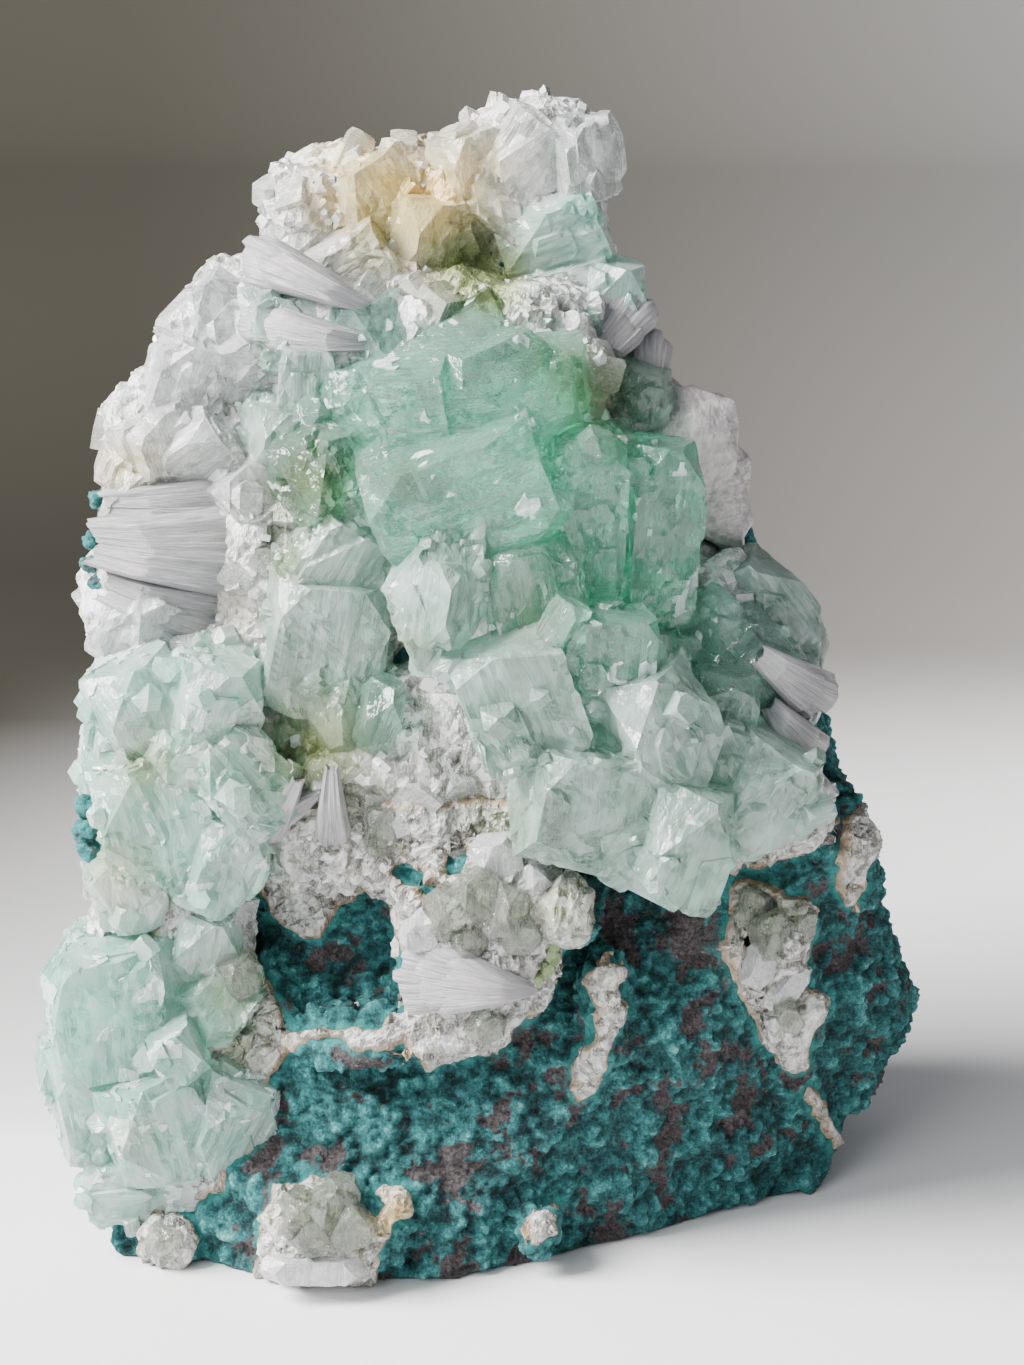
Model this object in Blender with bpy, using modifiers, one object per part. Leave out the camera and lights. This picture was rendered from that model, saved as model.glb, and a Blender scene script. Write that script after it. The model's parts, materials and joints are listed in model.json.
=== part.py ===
"""Green apophyllite on white zeolites, grown on a piece of basalt coated with teal celadonite.

The specimen stands on a flat cut. The basalt is a wedge, thick at the foot and thin at the top.
A bed of white zeolites covers its upper front and its left side, and carries clusters of
tetragonal apophyllite crystals and fans of stilbite blades. Hollows in the basalt hold fillings.

Places are read off the front view, taken from EYE_RISE degrees above level, as three numbers in
millimetres: across and up in the view, and back in depth. Everything is built in millimetres
and scaled to metres at the end, with +Z up, +X to the viewer's right and the front at -Y.
"""

import math
from collections import namedtuple

import bmesh
import bpy
from mathutils import Matrix, Vector, noise

# Driving dimensions, in millimetres unless they say otherwise
MM = 0.001
GAP = 0.3
# Where the middle of the finished specimen lies, which becomes the origin
CENTRE = Vector((2.2, -0.95, 0.0))

# The front view
EYE_RISE = math.radians(16)
EYE_DISTANCE = 420.0
LOOK_AT = Vector((5.5, -15.0, 76.5))
VIEW_MIDDLE = (5.5, 80.0)

# The basalt wedge
BASE_LEFT = -50.0
BASE_RIGHT = 62.0
BASE_BACK = 42.0
BASALT_TOP = 128.0
BACK_WAY = (0.0, 0.98, 0.2)
BLOCK_SIZE = 400.0
SPARE_UNDER_FOOT = 6.0

# Triangles left in each kind of solid
ROCK_TRIANGLES = 1000
BED_TRIANGLES = 1050
POCKET_TRIANGLES = 240
FILLING_TRIANGLES = 120
BALL_TRIANGLES = 220

# A lump's shape: 1 is a ball, 0 a box
LUMP_ROUNDNESS = 0.55

# Broken surfaces: the noise's detail, and its cracks' spacing, depth and lift
NOISE_DIMENSION = 0.8
NOISE_STEP = 2.1
NOISE_LAYERS = 4
CRACK_SPACING = 0.7
CRACK_DEPTH = 0.8
LUMP_LIFT = 0.2
SEED_SHIFT = Vector((13.7, 7.3, 3.1))

# The slope of apophyllite's pyramid faces: their normals lean this far from the long axis
PYRAMID_LEAN = math.radians(60.4)

# A stilbite blade: its root's share of its width and thickness, and where its chisel end starts
ROOT_WIDTH = 0.5
ROOT_THICKNESS = 0.7
CHISEL_START = 0.86

# How the blades of a sheaf differ: shorter at its sides, and tipped by turns
SIDE_SHORTENING = 0.22
LENGTH_RIPPLE = 0.05
RIPPLE_TURNS = 19.0
TIPPING = 0.6
TIPPING_TURNS = 7.0

Crystal = namedtuple("Crystal", "across up back wide deep tall lean toward roll point")
Blob = namedtuple("Blob", "across up back wide deep tall")
Blade = namedtuple("Blade", "root long wide thick lean toward")
Sheaf = namedtuple("Sheaf", "across up back long wide thick lean_from lean_to blades toward")
Rough = namedtuple("Rough", "cell height spacing seed")

# Broken surfaces: the grid that fuses the lumps, and the height, spacing and seed of the noise
ROCK_ROUGH = Rough(2.2, 3.2, 17.0, 1)
POCKET_ROUGH = Rough(1.0, 1.0, 6.0, 2)
FILLING_ROUGH = Rough(1.0, 1.2, 5.0, 3)
BED_ROUGH = Rough(1.8, 2.4, 9.0, 20)
BALL_ROUGH = Rough(1.0, 1.0, 4.0, 30)

# Planes that bound the basalt: a point on each, and the way it faces
ROCK_FACES = (
    ((0, -37, 0), (0.05, -1.0, 0.06)),
    ((8, -36, 20), (0.5, -0.84, -0.18)),
    ((-22, -38, 0), (-0.32, -0.94, 0.0)),
    ((BASE_LEFT, 0, 30), (-1.0, -0.1, 0.0)),
    ((BASE_LEFT, 0, 98), (-0.9, 0.0, 0.43)),
    ((-42, 0, 112), (-0.72, 0.0, 0.69)),
    ((0, 0, BASALT_TOP), (0.0, 0.0, 1.0)),
    ((BASE_RIGHT, 0, 22), (0.99, 0.0, 0.1)),
    ((60.5, 0, 53), (0.87, 0.0, 0.49)),
    ((38, 0, 93), (0.93, 0.0, 0.36)),
    ((61, 0, 18), (0.8, -0.1, -0.6)),
    ((0, -19, 55), (0.0, -0.93, 0.36)),
    ((-40, -29, 11), (-0.45, -0.83, 0.33)),
    ((0, BASE_BACK, 0), BACK_WAY),
    ((45, 30, 0), (0.62, 0.78, 0.1)),
    ((-36, 32, 0), (-0.55, 0.83, 0.1)),
)

# The flat cut that the specimen stands on, and where the block ends before that cut
SAWN_FOOT = ((0, 0, 0), (0, 0, -1))
UNDER_FOOT = ((0, 0, -SPARE_UNDER_FOOT), (0, 0, -1))

# The plane that ends the white bed at the back
BED_BACK = ((0, BASE_BACK, 0), BACK_WAY)

# The white bed, as overlapping lumps
BED_LUMPS = (
    Blob(-12, 141, 9, 32, 24, 22),
    Blob(8, 146, 8, 21, 20, 25),
    Blob(8, 132, 12, 24, 26, 16),
    Blob(-14, 131, 12, 34, 24, 14),
    Blob(-27, 126, 2, 26, 24, 20),
    Blob(-37, 110, -3, 24, 26, 24),
    Blob(-38, 92, -8, 24, 24, 28),
    Blob(-37, 70, -13, 26, 24, 28),
    Blob(-39, 50, -16, 24, 22, 24),
    Blob(-39, 27, -18, 27, 22, 32),
    Blob(-2, 118, -5, 46, 24, 34),
    Blob(-10, 92, -12, 50, 22, 36),
    Blob(2, 70, -20, 52, 20, 30),
    Blob(20, 110, 3, 14, 18, 30),
    Blob(26, 86, -6, 24, 24, 30),
    Blob(34, 66, -15, 26, 24, 16),
    Blob(-13, 60, -22, 28, 16, 14),
    Blob(1, 45, -30, 20, 14, 26),
    Blob(12.5, 50, -29, 9, 12, 10),
    Blob(-9, 33, -31, 20, 12, 7),
    Blob(-20, 32, -29, 14, 10, 5),
)

# The hollow under the bed that its pocket filling runs down into
BED_POCKET = (
    Blob(1, 45, -30, 21, 15, 27),
    Blob(12.5, 50, -29, 10, 13, 11),
    Blob(-9, 33, -31, 21, 13, 8),
    Blob(-20, 32, -29, 15, 11, 6),
)

# Fillings of the hollows in the basalt front
FILLINGS = {
    "filling_low": (Blob(-18, 8, -36, 22, 12, 13), Blob(-11, 9, -35, 7, 10, 9)),
    "filling_round": (Blob(-40, 6.5, -30, 8, 9, 7.5),),
    "filling_foot": (Blob(9, 7, -34, 6, 9, 7),),
    "filling_middle": (Blob(18, 40, -29, 6, 9, 10), Blob(18, 33, -29, 6, 9, 12)),
    "filling_right": (Blob(40, 48, -17, 12, 11, 14), Blob(43, 37, -16, 8, 11, 18)),
    "filling_edge": (Blob(50.5, 56, -12, 7, 11, 13),),
}

# Crystals: place, size along their own axes, and turn in degrees. Lean is clockwise in the view,
# toward is tipped to the viewer, roll is about the long axis, and point is how far the pyramid
# faces have closed on the end, from 0 for a square end to 1 for a sharp one.
MAIN_CRYSTALS = (
    Crystal(1, 118, -22, 19, 18, 26, 84, 10, 20, 0.7),
    Crystal(-1, 106, -28, 16, 15, 23, 70, 12, 35, 0.3),
    Crystal(14.5, 100, -24, 11, 13, 28, 3, 5, 10, 0.2),
    Crystal(24, 98.5, -19, 14, 15, 28, 6, 0, 25, 0.4),
    Crystal(-4.5, 92, -33, 12, 12, 20, 188, 8, 30, 0.85),
    Crystal(6.5, 78, -37, 14, 9, 16, -20, 5, 5, 0.1),
    Crystal(17, 84, -33, 12, 12, 12, 5, 5, 15, 0.15),
    Crystal(8, 92, -29, 11, 12, 15, -10, 5, 10, 0.3),
    Crystal(26, 84, -25, 5, 8, 5, 0, 0, 10, 0.3),
    Crystal(18, 117, -7, 14, 12, 14, 20, 5, 30, 0.4),
    Crystal(11, 127, -5, 9, 9, 13, 80, 10, 20, 0.5),
    Crystal(0, 127, -12, 8, 9, 10, 60, 5, 10, 0.5),
    Crystal(-12, 127, -12, 10, 10, 13, -70, 10, 25, 0.6),
    Crystal(-14, 117.5, -18, 11, 12, 16, 42, 10, 40, 0.8),
    Crystal(-22, 121, -14, 7, 9, 9, 5, 5, 5, 0.15),
    Crystal(-23, 126, -9, 10, 11, 13, -80, 5, 20, 0.5),
    Crystal(-26, 113, -14, 8, 10, 9, 10, 5, 30, 0.3),
    Crystal(-18, 107, -20, 14, 13, 17, -25, 10, 30, 0.5),
    Crystal(-18, 95, -22, 13, 12, 15, 30, 5, 20, 0.4),
    Crystal(-20, 86, -23, 15, 13, 18, 10, 5, 15, 0.3),
    Crystal(-17, 76, -23, 12, 12, 13, -20, 10, 35, 0.5),
    Crystal(-12.5, 76, -29, 5, 7, 10, 20, 10, 20, 0.6),
    Crystal(-21, 70, -20, 11, 11, 12, 50, 0, 30, 0.5),
    Crystal(-13, 69, -20, 8, 9, 10, -60, 0, 20, 0.5),
    Crystal(14, 65, -35, 15, 15, 16, 10, 5, 20, 0.25),
    Crystal(24, 74, -33, 13, 14, 17, -15, 5, 30, 0.4),
    Crystal(27, 60, -35, 12, 15, 16, 20, 5, 25, 0.5),
    Crystal(33, 77, -25, 8, 11, 10, 10, 0, 10, 0.3),
    Crystal(38, 66, -28, 12, 14, 15, 30, 5, 25, 0.4),
    Crystal(32, 70, -30, 9, 10, 10, -30, 5, 30, 0.4),
    Crystal(20, 60, -35, 10, 11, 10, 40, 5, 20, 0.4),
    Crystal(34, 87, -14, 14, 15, 26, -30, 5, 20, 0.6),
    Crystal(39, 79, -17, 10, 12, 14, -34, 5, 30, 0.4),
)

LEFT_CRYSTALS = (
    Crystal(-44, 77, -25, 12, 12, 13, -20, 5, 25, 0.4),
    Crystal(-35, 78, -27, 11, 12, 13, 15, 10, 30, 0.4),
    Crystal(-43, 63, -28, 14, 14, 16, -10, 5, 15, 0.4),
    Crystal(-31, 67, -28, 11, 12, 14, -35, 5, 25, 0.3),
    Crystal(-34, 57, -28, 10, 12, 13, 20, 5, 30, 0.4),
    Crystal(-46, 53, -24, 10, 12, 10, -8, 0, 10, 0.1),
    Crystal(-47, 70, -22, 8, 12, 12, 10, 0, 20, 0.4),
    Crystal(-38, 71, -28, 9, 12, 10, 40, 5, 20, 0.4),
)

CORNER_CRYSTALS = (
    Crystal(-47, 38.5, -26, 19, 17, 17, -5, 5, 15, 0.2),
    Crystal(-50, 26, -24, 12, 14, 18, -8, 5, 20, 0.3),
    Crystal(-39, 31, -34, 6, 8, 7, -25, 5, 5, 0.1),
    Crystal(-34, 37, -27, 11, 12, 14, 60, 5, 30, 0.8),
    Crystal(-42, 22, -30, 14, 13, 15, -15, 5, 25, 0.4),
    Crystal(-33, 23, -28, 11, 13, 14, 25, 5, 30, 0.4),
    Crystal(-43, 15.5, -25, 9, 14, 16, 82, 0, 10, 0.2),
    Crystal(-36, 46, -24, 9, 12, 10, 15, 5, 20, 0.4),
)

TOP_CRYSTALS = (
    Crystal(11, 140, 2, 12, 12, 14, 70, 5, 20, 0.3),
    Crystal(11, 149, 3, 6, 8, 7, 10, 5, 20, 0.3),
    Crystal(11, 133, 1, 7, 10, 15, 75, 5, 10, 0.5),
)

# Stilbite: a root, the blades' size, and the span of leans that they fan out over
SHEAVES = {
    "stilbite_fan": (
        Sheaf(-49, 99.5, -16, 22, 6, 10, 76, 112, 6, 14),
        Sheaf(-51, 90, -18, 17, 6, 9, 84, 138, 6, 14),
    ),
    "stilbite_upper_left": (
        Sheaf(-17, 131, -9, 15, 4, 9, -82, -42, 6, 10),
        Sheaf(-26, 130, -8, 16, 5, 9, -132, -92, 5, 12),
    ),
    "stilbite_upper_right": (
        Sheaf(17, 124, -3, 11, 4, 8, 5, 60, 5, 8),
    ),
    "stilbite_spray": (
        Sheaf(39, 79, -21, 15, 5, 8, 118, 162, 6, 8),
    ),
    "stilbite_sheaf": (
        Sheaf(-22, 66, -30, 13, 4, 7, 160, 215, 6, 8),
    ),
}

BALL = (
    Blob(27.5, 112, -2, 17, 17, 14),
    Blob(31, 103, 0, 13, 16, 19),
)

# Colour, roughness and metallic value of each kind of stuff
STUFFS = {
    "basalt": ((0.03, 0.16, 0.16, 1), 0.9, 0.0),
    "zeolite": ((0.72, 0.72, 0.68, 1), 0.6, 0.0),
    "apophyllite": ((0.42, 0.68, 0.56, 1), 0.2, 0.0),
    "stilbite": ((0.8, 0.77, 0.77, 1), 0.45, 0.0),
    "filling": ((0.62, 0.6, 0.54, 1), 0.7, 0.0),
}


def seen(across, up, back):
    """The place, in millimetres, of a point read off the front view and set at a depth."""
    forward = Vector((0, math.cos(EYE_RISE), -math.sin(EYE_RISE)))
    upward = Vector((0, math.sin(EYE_RISE), math.cos(EYE_RISE)))
    eye = LOOK_AT - forward * EYE_DISTANCE
    ray = forward * EYE_DISTANCE + upward * (up - VIEW_MIDDLE[1])
    ray.x += across - VIEW_MIDDLE[0]
    return eye + ray * ((back - eye.y) / ray.y)


def make_object(bm, name):
    """Turns a bmesh into an object in the specimen's collection."""
    mesh = bpy.data.meshes.new(name)
    bm.to_mesh(mesh)
    bm.free()
    made = bpy.data.objects.new(name, mesh)
    bpy.data.collections[COLLECTION].objects.link(made)
    return made


def settle(thing):
    """Replaces an object's mesh by what its modifiers make of it."""
    bpy.context.view_layer.update()
    depsgraph = bpy.context.evaluated_depsgraph_get()
    mesh = bpy.data.meshes.new_from_object(thing.evaluated_get(depsgraph))
    thing.modifiers.clear()
    thing.data = mesh


def combine(thing, other, operation, solver="EXACT"):
    """Joins another solid to this one, or cuts it away, and removes the other."""
    boolean = thing.modifiers.new("combine", "BOOLEAN")
    boolean.operation = operation
    boolean.solver = solver
    boolean.object = other
    settle(thing)
    bpy.data.objects.remove(other)


def grown(thing, by):
    """A copy of a solid with every vertex pushed out along its normal."""
    copy = bpy.data.objects.new("grown", thing.data.copy())
    bpy.data.collections[COLLECTION].objects.link(copy)
    for vertex in copy.data.vertices:
        vertex.co = vertex.co + vertex.normal * by
    return copy


def keep_largest(thing):
    """Drops the crumbs that a cut leaves, and keeps the one large body."""
    bm = bmesh.new()
    bm.from_mesh(thing.data)
    waiting = set(bm.verts)
    bodies = []
    while waiting:
        body = set()
        edge_of_body = [waiting.pop()]
        while edge_of_body:
            vertex = edge_of_body.pop()
            body.add(vertex)
            for edge in vertex.link_edges:
                other = edge.other_vert(vertex)
                if other in waiting:
                    waiting.discard(other)
                    edge_of_body.append(other)
        bodies.append(body)
    bodies.sort(key=extent, reverse=True)
    for body in bodies[1:]:
        bmesh.ops.delete(bm, geom=list(body), context="VERTS")
    bm.to_mesh(thing.data)
    bm.free()


def extent(body):
    """The volume of the box around a set of vertices."""
    sides = [[vertex.co[axis] for vertex in body] for axis in range(3)]
    return math.prod(max(side) - min(side) for side in sides)


def thin_out(thing, triangles):
    """Lowers a solid's triangle count."""
    thing.data.calc_loop_triangles()
    decimate = thing.modifiers.new("thin out", "DECIMATE")
    decimate.ratio = min(1.0, triangles / len(thing.data.loop_triangles))
    settle(thing)


def roughen(thing, rough):
    """Fuses a solid's lumps on a fine grid, and breaks up its surface."""
    remesh = thing.modifiers.new("fuse", "REMESH")
    remesh.mode = "VOXEL"
    remesh.voxel_size = rough.cell
    settle(thing)
    for vertex in thing.data.vertices:
        place = vertex.co / rough.spacing + SEED_SHIFT * rough.seed
        lump = noise.fractal(place, NOISE_DIMENSION, NOISE_STEP, NOISE_LAYERS)
        crack = abs(noise.noise(place * CRACK_SPACING))
        rise = lump - CRACK_DEPTH * crack + LUMP_LIFT
        vertex.co = vertex.co + vertex.normal * rough.height * rise


def cut_by_faces(bm, faces):
    """Cuts a solid by planes, and closes each cut."""
    for point, way in faces:
        geometry = bm.verts[:] + bm.edges[:] + bm.faces[:]
        cut = bmesh.ops.bisect_plane(
            bm, geom=geometry, dist=0.0001, plane_co=point, plane_no=way, clear_outer=True
        )
        rim = [item for item in cut["geom_cut"] if isinstance(item, bmesh.types.BMEdge)]
        if rim:
            bmesh.ops.holes_fill(bm, edges=rim)


def turned(lean, toward, roll):
    """The turn of a crystal or a blade, from three angles in degrees."""
    leaning = Matrix.Rotation(math.radians(lean), 4, "Y")
    tipping = Matrix.Rotation(math.radians(toward), 4, "X")
    rolling = Matrix.Rotation(math.radians(roll), 4, "Z")
    return leaning @ tipping @ rolling


def add_crystal(bm, crystal):
    """Adds one tetragonal crystal: a square prism with pyramid faces on its corners."""
    own = bmesh.new()
    bmesh.ops.create_cube(own, size=1.0)
    bmesh.ops.scale(own, vec=(crystal.wide, crystal.deep, crystal.tall), verts=own.verts)
    corner = math.hypot(crystal.wide, crystal.deep) / 2
    reach = crystal.tall / 2 * math.cos(PYRAMID_LEAN)
    reach += (1 - crystal.point) * corner * math.sin(PYRAMID_LEAN)
    faces = []
    for end in (1, -1):
        for quarter in range(4):
            heading = math.radians(45 + 90 * quarter)
            level = math.sin(PYRAMID_LEAN)
            way = Vector((math.cos(heading) * level, math.sin(heading) * level, 0))
            way.z = end * math.cos(PYRAMID_LEAN)
            faces.append((way * reach, way))
    cut_by_faces(own, faces)
    place = Matrix.Translation(seen(crystal.across, crystal.up, crystal.back))
    turn = turned(crystal.lean, crystal.toward, crystal.roll)
    bmesh.ops.transform(own, matrix=place @ turn, verts=own.verts)
    pour(own, bm)


def pour(own, bm):
    """Adds one bmesh to another, and frees the first."""
    mesh = bpy.data.meshes.new("pour")
    bmesh.ops.recalc_face_normals(own, faces=own.faces)
    own.to_mesh(mesh)
    own.free()
    bm.from_mesh(mesh)
    bpy.data.meshes.remove(mesh)


def blades_of(sheaf):
    """The blades of a sheaf, longest in its middle, each tipped a little differently."""
    root = seen(sheaf.across, sheaf.up, sheaf.back)
    for number in range(sheaf.blades):
        share = number / (sheaf.blades - 1)
        from_middle = abs(2 * share - 1)
        length = sheaf.long * (1 - SIDE_SHORTENING * from_middle)
        length += sheaf.long * LENGTH_RIPPLE * math.sin(RIPPLE_TURNS * share)
        lean = sheaf.lean_from + (sheaf.lean_to - sheaf.lean_from) * share
        toward = sheaf.toward * (1 + TIPPING * math.cos(TIPPING_TURNS * share))
        yield Blade(root, length, sheaf.wide, sheaf.thick, lean, toward)


def add_blade(bm, blade):
    """Adds one blade: a thin slab that widens from its root to a chisel end."""
    own = bmesh.new()
    bmesh.ops.create_cube(own, size=1.0)
    bmesh.ops.scale(own, vec=(blade.wide, blade.thick, blade.long), verts=own.verts)
    bmesh.ops.translate(own, vec=(0, 0, blade.long / 2), verts=own.verts)
    for vertex in own.verts:
        at_root = vertex.co.z < blade.long / 2
        vertex.co.x *= ROOT_WIDTH if at_root else 1.0
        vertex.co.y *= ROOT_THICKNESS if at_root else 1.0
    shoulder = Vector((blade.wide / 2, 0, blade.long * CHISEL_START))
    faces = [((side * shoulder.x, 0, shoulder.z), (side, 0, 1)) for side in (1, -1)]
    cut_by_faces(own, faces)
    turn = turned(blade.lean, blade.toward, 0)
    bmesh.ops.transform(own, matrix=Matrix.Translation(blade.root) @ turn, verts=own.verts)
    pour(own, bm)


def add_blob(bm, blob):
    """Adds one lump: a round form, drawn out towards a box."""
    own = bmesh.new()
    bmesh.ops.create_icosphere(own, subdivisions=3, radius=1.0)
    for vertex in own.verts:
        largest = max(abs(value) for value in vertex.co)
        vertex.co = vertex.co * (LUMP_ROUNDNESS + (1 - LUMP_ROUNDNESS) / largest)
        vertex.co.x *= blob.wide / 2
        vertex.co.y *= blob.deep / 2
        vertex.co.z *= blob.tall / 2
    bmesh.ops.translate(own, vec=seen(blob.across, blob.up, blob.back), verts=own.verts)
    pour(own, bm)


def lumps(name, blobs):
    """One object that holds several lumps, not yet fused."""
    bm = bmesh.new()
    for blob in blobs:
        add_blob(bm, blob)
    return make_object(bm, name)


def united(name, add_shape, shapes, solver="EXACT"):
    """The union of several shapes of one kind."""
    whole = None
    for described in shapes:
        bm = bmesh.new()
        add_shape(bm, described)
        shape = make_object(bm, name)
        if whole is None:
            whole = shape
        else:
            combine(whole, shape, "UNION", solver)
    whole.name = name
    return whole


def cluster(name, crystals):
    """Crystals grown together, as one solid."""
    return united(name, add_crystal, crystals)


def fans(name, sheaves):
    """Sheaves of blades, as one solid."""
    blades = [blade for sheaf in sheaves for blade in blades_of(sheaf)]
    return united(name, add_blade, blades, "MANIFOLD")


def basalt():
    """The piece of basalt: a block cut by planes, broken up, and cut flat at its foot."""
    bm = bmesh.new()
    bmesh.ops.create_cube(bm, size=BLOCK_SIZE)
    cut_by_faces(bm, ROCK_FACES)
    cut_by_faces(bm, [UNDER_FOOT])
    rock = make_object(bm, "basalt_matrix")
    roughen(rock, ROCK_ROUGH)
    thin_out(rock, ROCK_TRIANGLES)
    cut_solid(rock, [SAWN_FOOT])
    return rock


def cut_solid(thing, faces):
    """Cuts a finished solid by planes."""
    bm = bmesh.new()
    bm.from_mesh(thing.data)
    cut_by_faces(bm, faces)
    bm.to_mesh(thing.data)
    bm.free()


def paint(thing, stuff):
    """Gives an object the material of its stuff."""
    colour, roughness, metallic = STUFFS[stuff]
    material = bpy.data.materials.get(stuff) or bpy.data.materials.new(stuff)
    material.use_nodes = True
    shader = material.node_tree.nodes["Principled BSDF"]
    shader.inputs["Base Color"].default_value = colour
    shader.inputs["Roughness"].default_value = roughness
    shader.inputs["Metallic"].default_value = metallic
    thing.data.materials.clear()
    thing.data.materials.append(material)


def finish(thing, stuff):
    """Centres a solid on the specimen's origin, scales it to metres and paints it."""
    thing.data.transform(Matrix.Scale(MM, 4) @ Matrix.Translation(-CENTRE))
    thing.data.update()
    paint(thing, stuff)


def carve(thing, neighbours):
    """Cuts a solid back from its neighbours, with a gap between them.

    A grown copy can fall short in a sharp crease, so the neighbour itself is cut away too.
    """
    for neighbour in neighbours:
        combine(thing, grown(neighbour, GAP), "DIFFERENCE", "MANIFOLD")
        combine(thing, grown(neighbour, 0), "DIFFERENCE", "MANIFOLD")
    keep_largest(thing)


COLLECTION = "apophyllite_specimen"


def main():
    """Builds the specimen from the rock outwards."""
    for old in list(bpy.data.objects):
        bpy.data.objects.remove(old)
    bpy.context.scene.collection.children.link(bpy.data.collections.new(COLLECTION))

    rock = basalt()
    pocket = lumps("pocket", BED_POCKET)
    roughen(pocket, POCKET_ROUGH)
    thin_out(pocket, POCKET_TRIANGLES)
    combine(rock, pocket, "DIFFERENCE", "MANIFOLD")

    fillings = []
    for number, (name, blobs) in enumerate(FILLINGS.items()):
        filling = lumps(name, blobs)
        roughen(filling, FILLING_ROUGH._replace(seed=FILLING_ROUGH.seed + number))
        thin_out(filling, FILLING_TRIANGLES)
        cut_solid(filling, [SAWN_FOOT])
        fillings.append(filling)
    carve(rock, fillings)

    bed = lumps("zeolite_bed", BED_LUMPS)
    roughen(bed, BED_ROUGH)
    thin_out(bed, BED_TRIANGLES)
    cut_solid(bed, [BED_BACK])
    carve(bed, [rock] + fillings)

    ball = lumps("stilbite_ball", BALL)
    roughen(ball, BALL_ROUGH)
    thin_out(ball, BALL_TRIANGLES)
    grounds = [rock, bed] + fillings
    clusters = [
        cluster("apophyllite_main", MAIN_CRYSTALS),
        cluster("apophyllite_left", LEFT_CRYSTALS),
        cluster("apophyllite_corner", CORNER_CRYSTALS),
        cluster("apophyllite_top", TOP_CRYSTALS),
    ]
    sprays = [fans(name, sheaves) for name, sheaves in SHEAVES.items()] + [ball]
    placed = []
    for growth in clusters + sprays:
        carve(growth, grounds + placed)
        placed.append(growth)

    finish(rock, "basalt")
    finish(bed, "zeolite")
    for filling in fillings:
        finish(filling, "filling")
    for growth in clusters:
        finish(growth, "apophyllite")
    for growth in sprays:
        finish(growth, "stilbite")


main()
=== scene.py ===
# %% [markdown]
# # Green apophyllite on zeolites and teal-coated basalt
#
# The real piece is a hand-sized mineral specimen. Glassy mint-green apophyllite crystals and
# white stilbite sit on a bed of white zeolites, and the bed sits on basalt that wears a rough
# teal skin of celadonite. This lesson dresses a plain solid model of it, one stuff at a time.
# The solid model is loaded first, because every dressed piece takes its place from it.

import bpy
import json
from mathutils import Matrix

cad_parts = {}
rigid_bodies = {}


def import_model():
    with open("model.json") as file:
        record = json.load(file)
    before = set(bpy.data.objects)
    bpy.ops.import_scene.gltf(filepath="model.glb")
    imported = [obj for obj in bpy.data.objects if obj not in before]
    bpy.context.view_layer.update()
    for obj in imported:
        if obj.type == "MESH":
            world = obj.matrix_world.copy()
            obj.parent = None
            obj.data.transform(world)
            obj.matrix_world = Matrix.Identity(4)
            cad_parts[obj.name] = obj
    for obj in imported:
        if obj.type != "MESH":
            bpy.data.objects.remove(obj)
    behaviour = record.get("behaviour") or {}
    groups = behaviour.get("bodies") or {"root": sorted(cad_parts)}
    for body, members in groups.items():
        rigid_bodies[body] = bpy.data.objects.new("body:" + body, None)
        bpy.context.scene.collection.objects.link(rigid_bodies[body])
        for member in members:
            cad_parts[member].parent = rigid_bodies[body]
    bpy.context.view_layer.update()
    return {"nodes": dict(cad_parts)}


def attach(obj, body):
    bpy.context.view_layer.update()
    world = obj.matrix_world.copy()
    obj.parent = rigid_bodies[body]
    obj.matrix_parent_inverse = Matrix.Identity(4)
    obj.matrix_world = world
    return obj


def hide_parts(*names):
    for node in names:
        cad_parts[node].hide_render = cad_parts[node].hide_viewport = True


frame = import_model()

# %% Tools for making meshes
import json
import math
import random
from collections import namedtuple

import bmesh
import bpy
import numpy as np
from mathutils import Matrix, Vector, noise
from mathutils.bvhtree import BVHTree

MM = 0.001
NOISE_SEED = 7
noise.seed_set(NOISE_SEED)

# %% [markdown]
# ## The view
#
# The specimen was looked at from slightly above, about 16 degrees, from 42 cm away. Places are
# easiest to read off the front view, so this helper turns a place in that view, in millimetres
# across and up, and a depth, into a place in the model. The camera stands at the same eye point.

# %% From the front view to the model
CENTRE = Vector((2.2, -0.95, 0.0))
EYE_RISE = math.radians(16)
EYE_DISTANCE = 420.0
LOOK_AT = Vector((5.5, -15.0, 76.5))
VIEW_MIDDLE = (5.5, 80.0)
FORWARD = Vector((0, math.cos(EYE_RISE), -math.sin(EYE_RISE)))
UPWARD = Vector((0, math.sin(EYE_RISE), math.cos(EYE_RISE)))
EYE = LOOK_AT - FORWARD * EYE_DISTANCE


def seen(across, up, back):
    """A place in the model, in millimetres, from the front view and a depth."""
    ray = FORWARD * EYE_DISTANCE + UPWARD * (up - VIEW_MIDDLE[1])
    ray.x += across - VIEW_MIDDLE[0]
    return EYE + ray * ((back - EYE.y) / ray.y) - CENTRE


def in_view(points):
    """Where points of the model fall in the front view: across and up, in millimetres."""
    away = np.asarray(points) + np.array(CENTRE - EYE)
    depth = away @ np.array(FORWARD)
    across = away[:, 0] / depth * EYE_DISTANCE + VIEW_MIDDLE[0]
    up = away @ np.array(UPWARD) / depth * EYE_DISTANCE + VIEW_MIDDLE[1]
    return np.column_stack((across, up))


camera_data = bpy.data.cameras.new("camera")
camera_data.lens = 83.08
camera_data.sensor_width = 36.0
camera_data.clip_start = 0.01
camera = bpy.data.objects.new("camera", camera_data)
camera.location = (EYE - CENTRE) * MM
camera.rotation_euler = FORWARD.to_track_quat("-Z", "Y").to_euler()
bpy.context.scene.collection.objects.link(camera)
bpy.context.scene.camera = camera
print("camera at", camera.location[:])

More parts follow.
